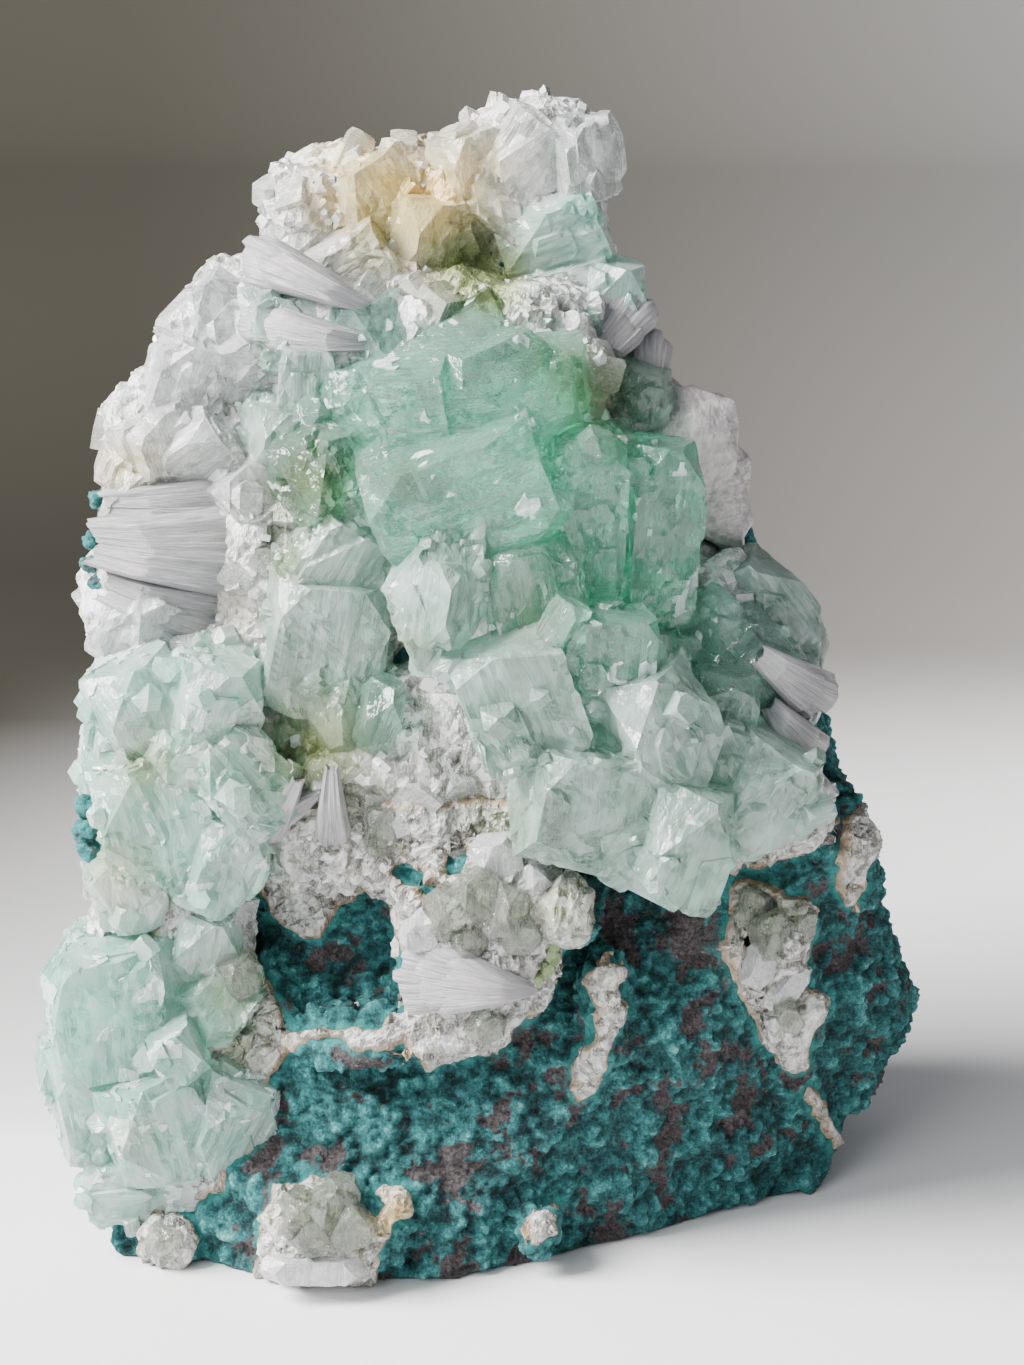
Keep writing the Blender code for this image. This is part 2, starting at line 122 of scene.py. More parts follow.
# %% [markdown]
# ## Small helpers for shader nodes
#
# A material here is a handful of noise textures that steer colour, roughness and relief. These
# helpers keep the wiring short: one adds a node and fills or links its inputs, the others make
# the noises, ramps and mixes that come up again and again.

# %% Node helpers


def add_node(tree, kind, inputs=None, **settings):
    """Adds a shader node, sets its settings, and fills or links its inputs."""
    made = tree.nodes.new("ShaderNode" + kind)
    for name, value in settings.items():
        setattr(made, name, value)
    for name, value in (inputs or {}).items():
        socket = made.inputs[name]
        if isinstance(value, bpy.types.NodeSocket):
            tree.links.new(value, socket)
        else:
            socket.default_value = value
    return made


def math_node(tree, operation, first, second=0.0):
    """The result of one sum on two values."""
    return add_node(tree, "Math", {0: first, 1: second}, operation=operation).outputs[0]


def noise_value(tree, vector, scale, detail=3.0, rough=0.5, distortion=0.0):
    """A cloudy noise between 0 and 1, with its scale per millimetre."""
    inputs = {"Vector": vector, "Scale": scale, "Detail": detail, "Roughness": rough}
    inputs["Distortion"] = distortion
    return add_node(tree, "TexNoise", inputs).outputs["Fac"]


def cells(tree, vector, scale, feature="F1", output="Distance"):
    """A pattern of cells, with its scale per millimetre."""
    inputs = {"Vector": vector, "Scale": scale}
    return add_node(tree, "TexVoronoi", inputs, feature=feature).outputs[output]


def between(tree, value, low, high):
    """Stretches the span from low to high over 0 to 1, and clips the rest."""
    inputs = {"Value": value, "From Min": low, "From Max": high}
    return add_node(tree, "MapRange", inputs).outputs["Result"]


def mixed(tree, share, first, second):
    """A colour between two colours."""
    made = add_node(tree, "Mix", data_type="RGBA")
    for socket, value in ((made.inputs[0], share), (made.inputs[6], first), (made.inputs[7], second)):
        if isinstance(value, bpy.types.NodeSocket):
            tree.links.new(value, socket)
        else:
            socket.default_value = value
    return made.outputs[2]


def mixed_value(tree, share, first, second):
    """A number between two numbers."""
    made = add_node(tree, "Mix", data_type="FLOAT")
    for socket, value in ((made.inputs[0], share), (made.inputs[2], first), (made.inputs[3], second)):
        if isinstance(value, bpy.types.NodeSocket):
            tree.links.new(value, socket)
        else:
            socket.default_value = value
    return made.outputs[0]


def place_in_mm(tree):
    """The place on the specimen, in millimetres."""
    coordinates = add_node(tree, "TexCoord").outputs["Object"]
    inputs = {0: coordinates, "Scale": 1000.0}
    return add_node(tree, "VectorMath", inputs, operation="SCALE").outputs[0]


def stored(tree, name, output="Fac"):
    """A value that the mesh carries at its points."""
    return add_node(tree, "Attribute", attribute_name=name).outputs[output]


def new_material(name, values):
    """A material with one Principled shader, its fixed values set on its own sockets."""
    material = bpy.data.materials.new(name)
    material.use_nodes = True
    shader = material.node_tree.nodes["Principled BSDF"]
    for socket, value in values.items():
        shader.inputs[socket].default_value = value
    return material, material.node_tree, shader


def give_relief(tree, shader, height, strength=1.0):
    """Bumps the surface by a height in millimetres."""
    inputs = {"Height": height, "Distance": MM, "Strength": strength}
    bump = add_node(tree, "Bump", inputs)
    tree.links.new(bump.outputs["Normal"], shader.inputs["Normal"])


def new_group(name, inputs, outputs):
    """An empty shader group with named inputs and outputs."""
    group = bpy.data.node_groups.new(name, "ShaderNodeTree")
    kinds = {"value": "NodeSocketFloat", "vector": "NodeSocketVector", "colour": "NodeSocketColor"}
    for label, (kind, value) in inputs.items():
        socket = group.interface.new_socket(label, in_out="INPUT", socket_type=kinds[kind])
        if value is not None:
            socket.default_value = value
    for label, kind in outputs.items():
        group.interface.new_socket(label, in_out="OUTPUT", socket_type=kinds[kind])
    entry = group.nodes.new("NodeGroupInput")
    leave = group.nodes.new("NodeGroupOutput")
    return group, entry.outputs, leave.inputs


def use_group(tree, group, inputs):
    """Places a shader group in a material, with its own values."""
    made = tree.nodes.new("ShaderNodeGroup")
    made.node_tree = group
    for name, value in inputs.items():
        if isinstance(value, bpy.types.NodeSocket):
            tree.links.new(value, made.inputs[name])
        else:
            made.inputs[name].default_value = value
    return made.outputs


print("node helpers ready")

# %% [markdown]
# ## Floor, backdrop and light
#
# The specimen stands on a pale sweep: a floor that bends up into a wall, so that no edge shows.
# The sweep's colour carries painted shade: the wall is painted darker at the upper left, and the floor darker
# towards the left and the back. A large soft box above and behind the left side lights the tops, a weaker one fills
# the front, and an even grey surround keeps the shadows soft.

# %% The sweep
FLOOR_FRONT = -5000.0
WALL_AT = 1600.0
WALL_TOP = 1200.0
SWEEP_RADIUS = 400.0
SWEEP_HALF_WIDTH = 5000.0


def sweep_profile():
    """The side view of the sweep: floor, bend and wall."""
    points = [(FLOOR_FRONT, 0.0)]
    for step in range(25):
        angle = math.radians(90 * step / 24)
        back = WALL_AT - SWEEP_RADIUS + SWEEP_RADIUS * math.sin(angle)
        points.append((back, SWEEP_RADIUS * (1 - math.cos(angle))))
    points.append((WALL_AT, WALL_TOP))
    return points


def make_sweep():
    """The floor and wall, as one smooth sheet."""
    bm = bmesh.new()
    rows = []
    for back, up in sweep_profile():
        ends = [bm.verts.new((x * MM, back * MM, up * MM)) for x in (-SWEEP_HALF_WIDTH, SWEEP_HALF_WIDTH)]
        rows.append(ends)
    for lower, upper in zip(rows, rows[1:]):
        face = bm.faces.new((lower[0], lower[1], upper[1], upper[0]))
        face.smooth = True
    mesh = bpy.data.meshes.new("sweep")
    bm.to_mesh(mesh)
    bm.free()
    made = bpy.data.objects.new("sweep", mesh)
    bpy.context.scene.collection.objects.link(made)
    return made


sweep = make_sweep()
paper, tree, shader = new_material("pale paper", {"Roughness": 0.85, "Specular IOR Level": 0.0})
place = add_node(tree, "SeparateXYZ", {0: place_in_mm(tree)})
# Painted shade: past the specimen the floor darkens towards the back, sooner and more on the left, and lightens
# again far back and up the wall.
spread = math_node(tree, "DIVIDE", place.outputs["X"], math_node(tree, "ADD", place.outputs["Y"], 418.0))
rightward = math_node(tree, "POWER", between(tree, spread, -0.123, 0.173), 1.5)
wall = mixed(tree, rightward, (0.034, 0.032, 0.026, 1), (0.277, 0.266, 0.25, 1))
lighter = mixed(tree, rightward, (0.185, 0.174, 0.140, 1), (0.60, 0.58, 0.55, 1))
farther = math_node(tree, "POWER", between(tree, place.outputs["Y"], 350.0, 1200.0), 1.15)
wall = mixed(tree, farther, wall, lighter)
left_painted_shade = math_node(tree, "POWER", between(tree, place.outputs["Y"], 10.0, 225.0), 0.42)
inputs = {"Value": place.outputs["Y"], "From Min": 135.0, "From Max": 290.0}
right_painted_shade = add_node(tree, "MapRange", inputs, interpolation_type="SMOOTHSTEP").outputs["Result"]
sideways = between(tree, place.outputs["X"], -110.0, 110.0)
painted_shade_share = mixed_value(tree, sideways, left_painted_shade, right_painted_shade)
# Painted shade: the floor is painted darker on the left than on the right.
floor_with_painted_shade = mixed(tree, sideways, (0.74, 0.735, 0.745, 1), (0.90, 0.89, 0.895, 1))
colour = mixed(tree, painted_shade_share, floor_with_painted_shade, wall)
tree.links.new(colour, shader.inputs["Base Color"])
sweep.data.materials.append(paper)


def soft_box(name, place, aim, size, power, colour=(1, 1, 1)):
    """A square area light, in millimetres, that faces a point."""
    data = bpy.data.lights.new(name, "AREA")
    data.shape = "SQUARE"
    data.size = size * MM
    data.energy = power
    data.color = colour
    made = bpy.data.objects.new(name, data)
    made.location = Vector(place) * MM
    way = Vector(aim) - Vector(place)
    made.rotation_euler = way.to_track_quat("-Z", "Y").to_euler()
    bpy.context.scene.collection.objects.link(made)
    return made


soft_box("window", (-560, -180, 560), (0, 0, 70), 400, 33.0, (1.0, 0.98, 0.96))
soft_box("front fill", (-420, -620, 420), (0, 0, 70), 500, 4.0, (0.95, 0.98, 1.0))
world = bpy.data.worlds.new("even surround")
bpy.context.scene.world = world
world.use_nodes = True
world.node_tree.nodes["Background"].inputs["Color"].default_value = (0.92, 0.95, 1.0, 1)
world.node_tree.nodes["Background"].inputs["Strength"].default_value = 0.33
print("stage and lights ready")

# %% [markdown]
# ## Shared shader effects
#
# Two effects are built once, as groups. Broken grain, coarse cracks and grains, is built
# but no material places it. Etched facets, small tilted planes with streaks, cracks and frosted
# patches, is placed by the white stuffs and the crystals with their own values.

# %% Effect: broken grain
grain_group, entry, leave = new_group(
    "broken grain",
    {"Place": ("vector", None), "Spacing": ("value", 1.0)},
    {"Height": "value", "Speck": "value"},
)
per_mm = math_node(grain_group, "DIVIDE", 1.0, entry["Spacing"])
coarse = cells(grain_group, entry["Place"], per_mm)
fine = noise_value(grain_group, entry["Place"], math_node(grain_group, "MULTIPLY", per_mm, 2.6), 5.0, 0.65)
height = math_node(grain_group, "MULTIPLY", coarse, -0.5)
height = math_node(grain_group, "ADD", height, fine)
grain_group.links.new(height, leave["Height"])
grain_group.links.new(between(grain_group, fine, 0.5, 0.72), leave["Speck"])

# %% Effect: etched facets
facet_group, entry, leave = new_group(
    "etched facets",
    {"Place": ("vector", None), "Size": ("value", 2.0), "Streak": ("value", 0.2), "Stretch": ("value", 0.45)},
    {"Height": "value", "Frost": "value", "Shade": "value"},
)
per_mm = math_node(facet_group, "DIVIDE", 1.0, entry["Size"])
cell = add_node(facet_group, "TexVoronoi", {"Vector": entry["Place"], "Scale": per_mm})
away = add_node(
    facet_group, "VectorMath", {0: entry["Place"], 1: cell.outputs["Position"]}, operation="SUBTRACT"
)
tilt = add_node(
    facet_group, "VectorMath", {0: cell.outputs["Color"], 1: (0.5, 0.5, 0.5)}, operation="SUBTRACT"
)
plane = add_node(
    facet_group, "VectorMath", {0: away.outputs[0], 1: tilt.outputs[0]}, operation="DOT_PRODUCT"
).outputs["Value"]
stretch = add_node(facet_group, "CombineXYZ", {0: 1.0, 1: 1.0, 2: entry["Stretch"]}).outputs[0]
along = add_node(
    facet_group, "VectorMath", {0: entry["Place"], 1: stretch}, operation="MULTIPLY"
).outputs[0]
streaks = noise_value(facet_group, along, 0.9, 3.0, 0.7)
height = math_node(facet_group, "MULTIPLY", streaks, entry["Streak"])
facet_group.links.new(math_node(facet_group, "ADD", height, plane), leave["Height"])
shade = add_node(facet_group, "SeparateXYZ", {0: cell.outputs["Color"]}).outputs["X"]
facet_group.links.new(shade, leave["Shade"])
crack = between(facet_group, math_node(facet_group, "ABSOLUTE", math_node(facet_group, "SUBTRACT", streaks, 0.5)), 0.016, 0.004)
patch = math_node(facet_group, "ADD", math_node(facet_group, "MULTIPLY", shade, 0.3), streaks)
patch = between(facet_group, patch, 0.64, 0.8)
facet_group.links.new(math_node(facet_group, "MAXIMUM", patch, crack), leave["Frost"])
print("shader groups:", [group.name for group in bpy.data.node_groups])

# %% [markdown]
# ## Basalt and its teal coat
#
# Celadonite grows on basalt as a crust of tiny knobs, dull, crumbly and teal. Where it never grew or has worn off,
# dark purple-brown rock shows. The colour follows the knobs, so the material reads a height that
# the mesh carries: near-black teal in the hollows and bright turquoise on the tops, which is partly the crust's
# own tone and partly painted shade and painted light. A sunk hollow is painted near-black as shade.

# %% Material: teal basalt
teal_rock, tree, shader = new_material("teal basalt", {"Specular IOR Level": 0.4})
place = place_in_mm(tree)
knob_shade_and_tone = stored(tree, "knob_shade_and_tone")
bare = stored(tree, "bare")
flecks = noise_value(tree, place, 1.9, 4.0, 0.78, 0.4)
mottle = noise_value(tree, place, 0.42, 4.0, 0.7, 0.8)
# Knob height drives the ramp: partly the crust's own tone, partly painted light on the tops and painted shade in the
# grooves.
shade = math_node(tree, "ADD", math_node(tree, "MULTIPLY", knob_shade_and_tone, 0.55), math_node(tree, "MULTIPLY", mottle, 0.5))
shade = math_node(tree, "ADD", shade, math_node(tree, "MULTIPLY", flecks, 1.3))
ramp = add_node(tree, "ValToRGB", {0: between(tree, shade, 0.66, 1.62)})
stops = ramp.color_ramp.elements
stops[0].position, stops[0].color = 0.0, (0.003, 0.012, 0.014, 1)
stops[1].position, stops[1].color = 1.0, (0.22, 0.52, 0.50, 1)
for position, colour in ((0.25, (0.006, 0.040, 0.043, 1)), (0.5, (0.022, 0.125, 0.13, 1)), (0.72, (0.055, 0.25, 0.25, 1))):
    stop = stops.new(position)
    stop.color = colour
grey = mixed(tree, between(tree, flecks, 0.38, 0.72), (0.014, 0.011, 0.013, 1), (0.17, 0.145, 0.15, 1))
bareness = math_node(tree, "ADD", bare, math_node(tree, "MULTIPLY", flecks, 1.1))
bareness = math_node(tree, "SUBTRACT", bareness, math_node(tree, "MULTIPLY", knob_shade_and_tone, 0.35))
colour = mixed(tree, between(tree, bareness, 0.66, 0.92), ramp.outputs[0], grey)
bright = math_node(tree, "MULTIPLY", stored(tree, "halo"), between(tree, mottle, 0.35, 0.6))
colour = mixed(tree, bright, colour, (0.03, 0.24, 0.23, 1))
# Painted shade: the sunk cavity is painted near-black.
colour = mixed(tree, stored(tree, "deep"), colour, (0.002, 0.014, 0.014, 1))
tree.links.new(colour, shader.inputs["Base Color"])
tree.links.new(mixed_value(tree, bare, 0.9, 0.55), shader.inputs["Roughness"])
give_relief(tree, shader, flecks, 0.9)
print("material:", teal_rock.name)

# %% [markdown]
# To carry fine relief, each solid is copied and its surface is rebuilt on a fine even grid, as
# a sculptor's remesh does. Then every point moves in or out along its normal.

# %% Helpers: copy, remesh, displace


def link(thing):
    """Puts a new object into the scene."""
    bpy.context.scene.collection.objects.link(thing)
    return thing


def settle(thing):
    """Replaces an object's mesh by what its modifiers make of it."""
    bpy.context.view_layer.update()
    depsgraph = bpy.context.evaluated_depsgraph_get()
    mesh = bpy.data.meshes.new_from_object(thing.evaluated_get(depsgraph))
    thing.modifiers.clear()
    thing.data = mesh


def refined(node, name, cell, smoothing=4):
    """A copy of a solid on an even grid of cells, with its facets softened."""
    thing = link(bpy.data.objects.new(name, frame["nodes"][node].data.copy()))
    remesh = thing.modifiers.new("even grid", "REMESH")
    remesh.mode = "VOXEL"
    remesh.voxel_size = cell * MM
    if smoothing:
        soften = thing.modifiers.new("soften", "SMOOTH")
        soften.factor = 0.5
        soften.iterations = smoothing
    settle(thing)
    return thing


def points_of(mesh):
    """All points of a mesh, in millimetres."""
    flat = np.empty(len(mesh.vertices) * 3, np.float32)
    mesh.vertices.foreach_get("co", flat)
    return flat.reshape(-1, 3).astype(float) / MM


def normals_of(mesh):
    """The normal at each point of a mesh."""
    flat = np.empty(len(mesh.vertices) * 3, np.float32)
    mesh.vertices.foreach_get("normal", flat)
    return flat.reshape(-1, 3).astype(float)


def set_points(mesh, points):
    """Moves all points of a mesh, given in millimetres."""
    mesh.vertices.foreach_set("co", (np.asarray(points) * MM).astype(np.float32).ravel())
    mesh.update()


def carry(mesh, name, values):
    """Stores a number at each point of a mesh, for its material to read."""
    values = np.asarray(values, np.float32)
    if values.ndim == 2:
        mesh.attributes.new(name, "FLOAT_VECTOR", "POINT").data.foreach_set("vector", values.ravel())
    else:
        mesh.attributes.new(name, "FLOAT", "POINT").data.foreach_set("value", values)


def shade_smooth(mesh):
    """Smooth shading all over."""
    mesh.polygons.foreach_set("use_smooth", [True] * len(mesh.polygons))


def tree_of(*nodes):
    """A search tree over solids, in millimetres, to find the nearest surface."""
    points, faces = [], []
    for node in nodes:
        mesh = frame["nodes"][node].data
        start = len(points)
        points += [tuple(point) for point in points_of(mesh)]
        faces += [[start + v for v in polygon.vertices] for polygon in mesh.polygons]
    return BVHTree.FromPolygons(points, faces)


def distances(tree, points, limit=30.0):
    """How far each point is from the nearest surface."""
    found = [tree.find_nearest(Vector(point), limit)[3] for point in points]
    return np.array([limit if value is None else value for value in found])


print("mesh helpers ready")

# %% [markdown]
# ## Outlines in the front view
#
# Where white filling meets teal rock, the edge is jagged and full of bays. Such an edge is a
# short outline, read off the front view, that noise then frays. A point of the surface is inside
# an outline when its place in the view is. The numbers are points of a 1024 by 1365 view.

# %% Outlines: white areas, and the teal areas inside them
VIEW_LEFT = 471.0
VIEW_FOOT = 1283.0
POINTS_PER_MM = 7.5

WHITE_OUTLINES = {
    "filling_low": (
        (252, 1272), (262, 1240), (260, 1219), (270, 1198), (272, 1184), (299, 1184), (312, 1169),
        (328, 1178), (340, 1188), (348, 1208), (363, 1217), (378, 1216), (386, 1203), (374, 1192),
        (388, 1186), (404, 1184), (411, 1194), (410, 1219), (395, 1224), (392, 1240), (380, 1253),
        (378, 1290), (260, 1292),
    ),
    "filling_round": (
        (140, 1232), (150, 1216), (172, 1212), (192, 1220), (200, 1238), (196, 1258), (182, 1275),
        (158, 1276), (143, 1262),
    ),
    "filling_foot": (
        (531, 1205), (548, 1201), (568, 1204), (556, 1222), (559, 1236), (545, 1244), (530, 1247),
        (527, 1236),
    ),
    "filling_middle": (
        (586, 972), (602, 964), (622, 961), (629, 972), (620, 988), (627, 1008), (620, 1034),
        (613, 1052), (606, 1074), (597, 1097), (580, 1103), (568, 1089), (574, 1062), (590, 1036),
        (593, 1008), (588, 990),
    ),
    "filling_right": (
        (727, 884), (744, 877), (770, 880), (784, 895), (810, 897), (817, 908), (811, 948),
        (801, 976), (810, 988), (829, 994), (825, 1018), (816, 1032), (806, 1070), (792, 1073),
        (777, 1058), (761, 1043), (751, 1018), (737, 997), (732, 970), (721, 955), (710, 950),
        (724, 938), (730, 916),
    ),
    "filling_edge": (
        (848, 818), (858, 803), (876, 806), (884, 828), (881, 852), (868, 868), (865, 891),
        (855, 905), (842, 906), (836, 885), (838, 855),
    ),
    "vein": (
        (810, 1085), (818, 1090), (826, 1106), (834, 1122), (845, 1146), (848, 1157), (834, 1156),
        (824, 1132), (812, 1112), (803, 1096),
    ),
    "pocket": (
        (215, 800), (560, 800), (566, 850), (563, 872), (572, 880), (590, 882), (594, 896),
        (586, 930), (574, 945), (563, 952), (556, 985), (546, 1005), (531, 1018), (515, 1027),
        (508, 1050), (470, 1058), (449, 1063), (425, 1070), (416, 1054), (404, 1044), (390, 1048),
        (374, 1056), (356, 1053), (340, 1043), (326, 1040), (302, 1043), (287, 1058), (272, 1076),
        (266, 1120), (262, 1142), (244, 1154), (230, 1166), (224, 1190), (200, 1202), (165, 1216),
        (120, 1212), (120, 1000),
    ),
    "ledge": (
        (716, 855), (728, 840), (744, 836), (768, 846), (808, 815), (830, 800), (838, 822),
        (822, 846), (800, 856), (776, 864), (760, 871), (746, 866), (736, 880), (722, 872),
    ),
}
TEAL_OUTLINES = {
    "teal pocket": (
        (365, 890), (380, 897), (392, 918), (401, 946), (405, 976), (393, 1011), (380, 1027),
        (350, 1028), (322, 1024), (302, 1033), (292, 1030), (280, 1006), (274, 988), (263, 970),
        (245, 967), (232, 958), (233, 925), (230, 904), (236, 875), (249, 877), (261, 895),
        (270, 913), (282, 926), (299, 940), (321, 940), (333, 922), (341, 906), (356, 904),
    ),
    "teal spot": (
        (394, 872), (408, 867), (424, 878), (436, 884), (443, 900), (438, 908), (428, 900),
        (420, 888), (408, 886),
    ),
    "small teal spot": ((449, 856), (458, 850), (466, 858), (463, 874), (455, 880), (446, 876)),
    "hole": ((747, 936), (757, 930), (765, 938), (762, 950), (752, 952), (746, 944)),
    "little hole": ((764, 898), (774, 898), (776, 907), (767, 910)),
}


def to_view(outline):
    """An outline's corners, in millimetres across and up."""
    corners = np.array(outline, float)
    across = (corners[:, 0] - VIEW_LEFT) / POINTS_PER_MM
    return np.column_stack((across, (VIEW_FOOT - corners[:, 1]) / POINTS_PER_MM))


def inside_by(outline, spots):
    """How far inside an outline each spot of the view lies; outside it is negative."""
    corners = to_view(outline)
    nearest = np.full(len(spots), 1e9)
    inside = np.zeros(len(spots), bool)
    for start, end in zip(corners, np.roll(corners, -1, axis=0)):
        along = end - start
        share = np.clip((spots - start) @ along / (along @ along), 0, 1)
        away = np.linalg.norm(spots - start - share[:, None] * along, axis=1)
        nearest = np.minimum(nearest, away)
        if start[1] != end[1]:
            spans = (start[1] > spots[:, 1]) != (end[1] > spots[:, 1])
            crossing = start[0] + (spots[:, 1] - start[1]) / (end[1] - start[1]) * along[0]
            inside ^= spans & (spots[:, 0] < crossing)
    return np.where(inside, nearest, -nearest)


def frayed(points):
    """Noise, in millimetres, that frays an outline."""
    fray = [noise.noise(Vector(point) / 2.6) + 0.6 * noise.noise(Vector(point) / 1.1) for point in points]
    return 0.55 * np.array(fray)


def smooth_step(values, low, high):
    """0 below low, 1 above high, and a smooth rise between them."""
    share = np.clip((np.asarray(values) - low) / (high - low), 0, 1)
    return share * share * (3 - 2 * share)


print("outlines:", len(WHITE_OUTLINES), "white,", len(TEAL_OUTLINES), "teal")

# %% [markdown]
# ## One core for rock and fillings
#
# The rock, the bed and the fillings are first fused into one core with a fine even surface. The
# teal rock is that core, displaced. The white fillings are crusts on it: the part of its surface
# inside an outline, lifted and given thickness. So no gap opens where two stuffs meet.

# %% The core
FILLING_NODES = [node for node in frame["nodes"] if node.startswith("filling_")]
CORE_CELL = 0.95


def fused_core():
    """The rock, bed and fillings as one closed body on an even grid."""
    bm = bmesh.new()
    for node in ["basalt_matrix", "zeolite_bed"] + FILLING_NODES:
        bm.from_mesh(frame["nodes"][node].data)
    mesh = bpy.data.meshes.new("core")
    bm.to_mesh(mesh)
    bm.free()
    core = link(bpy.data.objects.new("core", mesh))
    remesh = core.modifiers.new("even grid", "REMESH")
    remesh.mode = "VOXEL"
    remesh.voxel_size = CORE_CELL * MM
    soften = core.modifiers.new("soften", "SMOOTH")
    soften.factor = 0.5
    soften.iterations = 5
    settle(core)
    return core


def whiteness(points, normals):
    """How far inside the white areas each point lies, for points that face the front."""
    spots = in_view(points)
    fray = frayed(points)
    white = np.full(len(points), -30.0)
    for outline in WHITE_OUTLINES.values():
        white = np.maximum(white, inside_by(outline, spots))
    teal = np.full(len(points), -30.0)
    for outline in TEAL_OUTLINES.values():
        teal = np.maximum(teal, inside_by(outline, spots))
    white = np.minimum(white, -teal) + fray
    facing = normals[:, 1] < -0.1
    return np.where(facing, white, -30.0), np.where(facing, teal + fray, -30.0)


core = fused_core()
core_points, core_normals = points_of(core.data), normals_of(core.data)
core_white, core_teal = whiteness(core_points, core_normals)
core_view = in_view(core_points)
bed_search = tree_of("zeolite_bed")
core_near_bed = distances(bed_search, core_points, 6.0)
print("core:", len(core.data.polygons), "faces")

# %% Hollows sunk into the core
CAVE = ((566, 848), (580, 842), (610, 843), (634, 852), (642, 872), (650, 888), (640, 896),
        (618, 893), (600, 888), (594, 880), (572, 872))
CAVITY = ((236, 880), (247, 884), (252, 905), (250, 930), (262, 950), (262, 968), (244, 966),
          (234, 950), (236, 920))


def hollow_depths():
    """How deep each point of the core is pushed back, in millimetres."""
    depth = 2.2 * smooth_step(inside_by(TEAL_OUTLINES["teal pocket"], core_view), 0.0, 2.2)
    depth += 4.0 * smooth_step(inside_by(CAVITY, core_view), -0.3, 1.3)
    depth += 5.5 * smooth_step(inside_by(CAVE, core_view), 0.0, 3.0)
    depth += 2.0 * smooth_step(inside_by(TEAL_OUTLINES["teal spot"], core_view), -0.2, 1.0)
    depth += 2.0 * smooth_step(inside_by(TEAL_OUTLINES["small teal spot"], core_view), -0.2, 1.0)
    depth += 3.5 * smooth_step(inside_by(TEAL_OUTLINES["hole"], core_view), -0.3, 0.7)
    depth += 1.5 * smooth_step(inside_by(TEAL_OUTLINES["little hole"], core_view), -0.3, 0.5)
    return np.where(core_normals[:, 1] < 0.2, depth, 0.0)


core_depths = hollow_depths()
core_points[:, 1] += core_depths
set_points(core.data, core_points)


def is_bed(points, view, near_bed):
    """Where the core is the white bed, which has a piece of its own."""
    low_front = (view[:, 0] > -26) & (view[:, 0] < 22) & (view[:, 1] < 57)
    return (near_bed < 0.5) & ~low_front


# %% The teal crust of the basalt


def knobs(point, size):
    """Round-topped knobs, one to a cell: 1 on a top, 0 in a groove."""
    distance = noise.voronoi(point / size)[0][0]
    return max(0.0, 1.0 - distance * distance * 2.2)


def crust_lift(spot):
    """The rough surface of the teal crust at a spot: its lift, its knobs and its bare share."""
    warp = noise.noise_vector(spot / 5.0) * 1.6
    broad = noise.noise(spot / 14.0)
    medium = noise.noise(spot / 5.5)
    big = knobs(spot + warp, 4.4)
    small = knobs(spot + warp * 0.6, 1.8)
    patch = noise.fractal(spot / 6.5 + Vector((3, 1, 7)), 0.55, 2.3, 5)
    bare = min(1.0, max(0.0, (patch - 0.26) * 4.0))
    crumbly = noise.fractal(spot / 1.5, 0.5, 2.2, 3)
    lift = 1.1 * broad + 0.8 * medium + 1.0 * big + 0.8 * small * (1 - 0.6 * bare) - 1.0
    lift += 0.45 * crumbly - 0.35 * bare
    # The second value, knob height, becomes tone, painted light on the tops and painted shade in the grooves.
    return lift, 0.35 * big + 0.5 * small + 0.3 * medium + 0.4 * crumbly, bare


def graded_core():
    """The core again: coarse where other stuffs hide it, finest where rock shows in front."""
    rock = core.copy()
    rock.data = core.data.copy()
    rock.name = "basalt_and_teal_crust"
    link(rock)
    hidden = is_bed(core_points, core_view, core_near_bed) | (core_white > 1.5)
    buried = rock.vertex_groups.new(name="hidden")
    buried.add([int(number) for number in np.flatnonzero(hidden)], 1.0, "REPLACE")
    decimate = rock.modifiers.new("coarse where hidden", "DECIMATE")
    decimate.ratio = 1 - 0.88 * hidden.mean()
    decimate.vertex_group = "hidden"
    settle(rock)
    rock.vertex_groups.clear()
    points, normals = points_of(rock.data), normals_of(rock.data)
    white, teal = whiteness(points, normals)
    view = in_view(points)
    near_bed = distances(bed_search, points, 6.0)
    shows = (normals[:, 1] < 0.15) & (points[:, 2] > 0.6) & (white < 1.0) & ~is_bed(points, view, near_bed)
    bm = bmesh.new()
    bm.from_mesh(rock.data)
    bm.verts.ensure_lookup_table()
    edges = [edge for edge in bm.edges if all(shows[vertex.index] for vertex in edge.verts)]
    bmesh.ops.subdivide_edges(bm, edges=edges, cuts=1, use_grid_fill=True)
    bmesh.ops.triangulate(bm, faces=[face for face in bm.faces if len(face.verts) > 4])
    bm.to_mesh(rock.data)
    bm.free()
    return rock


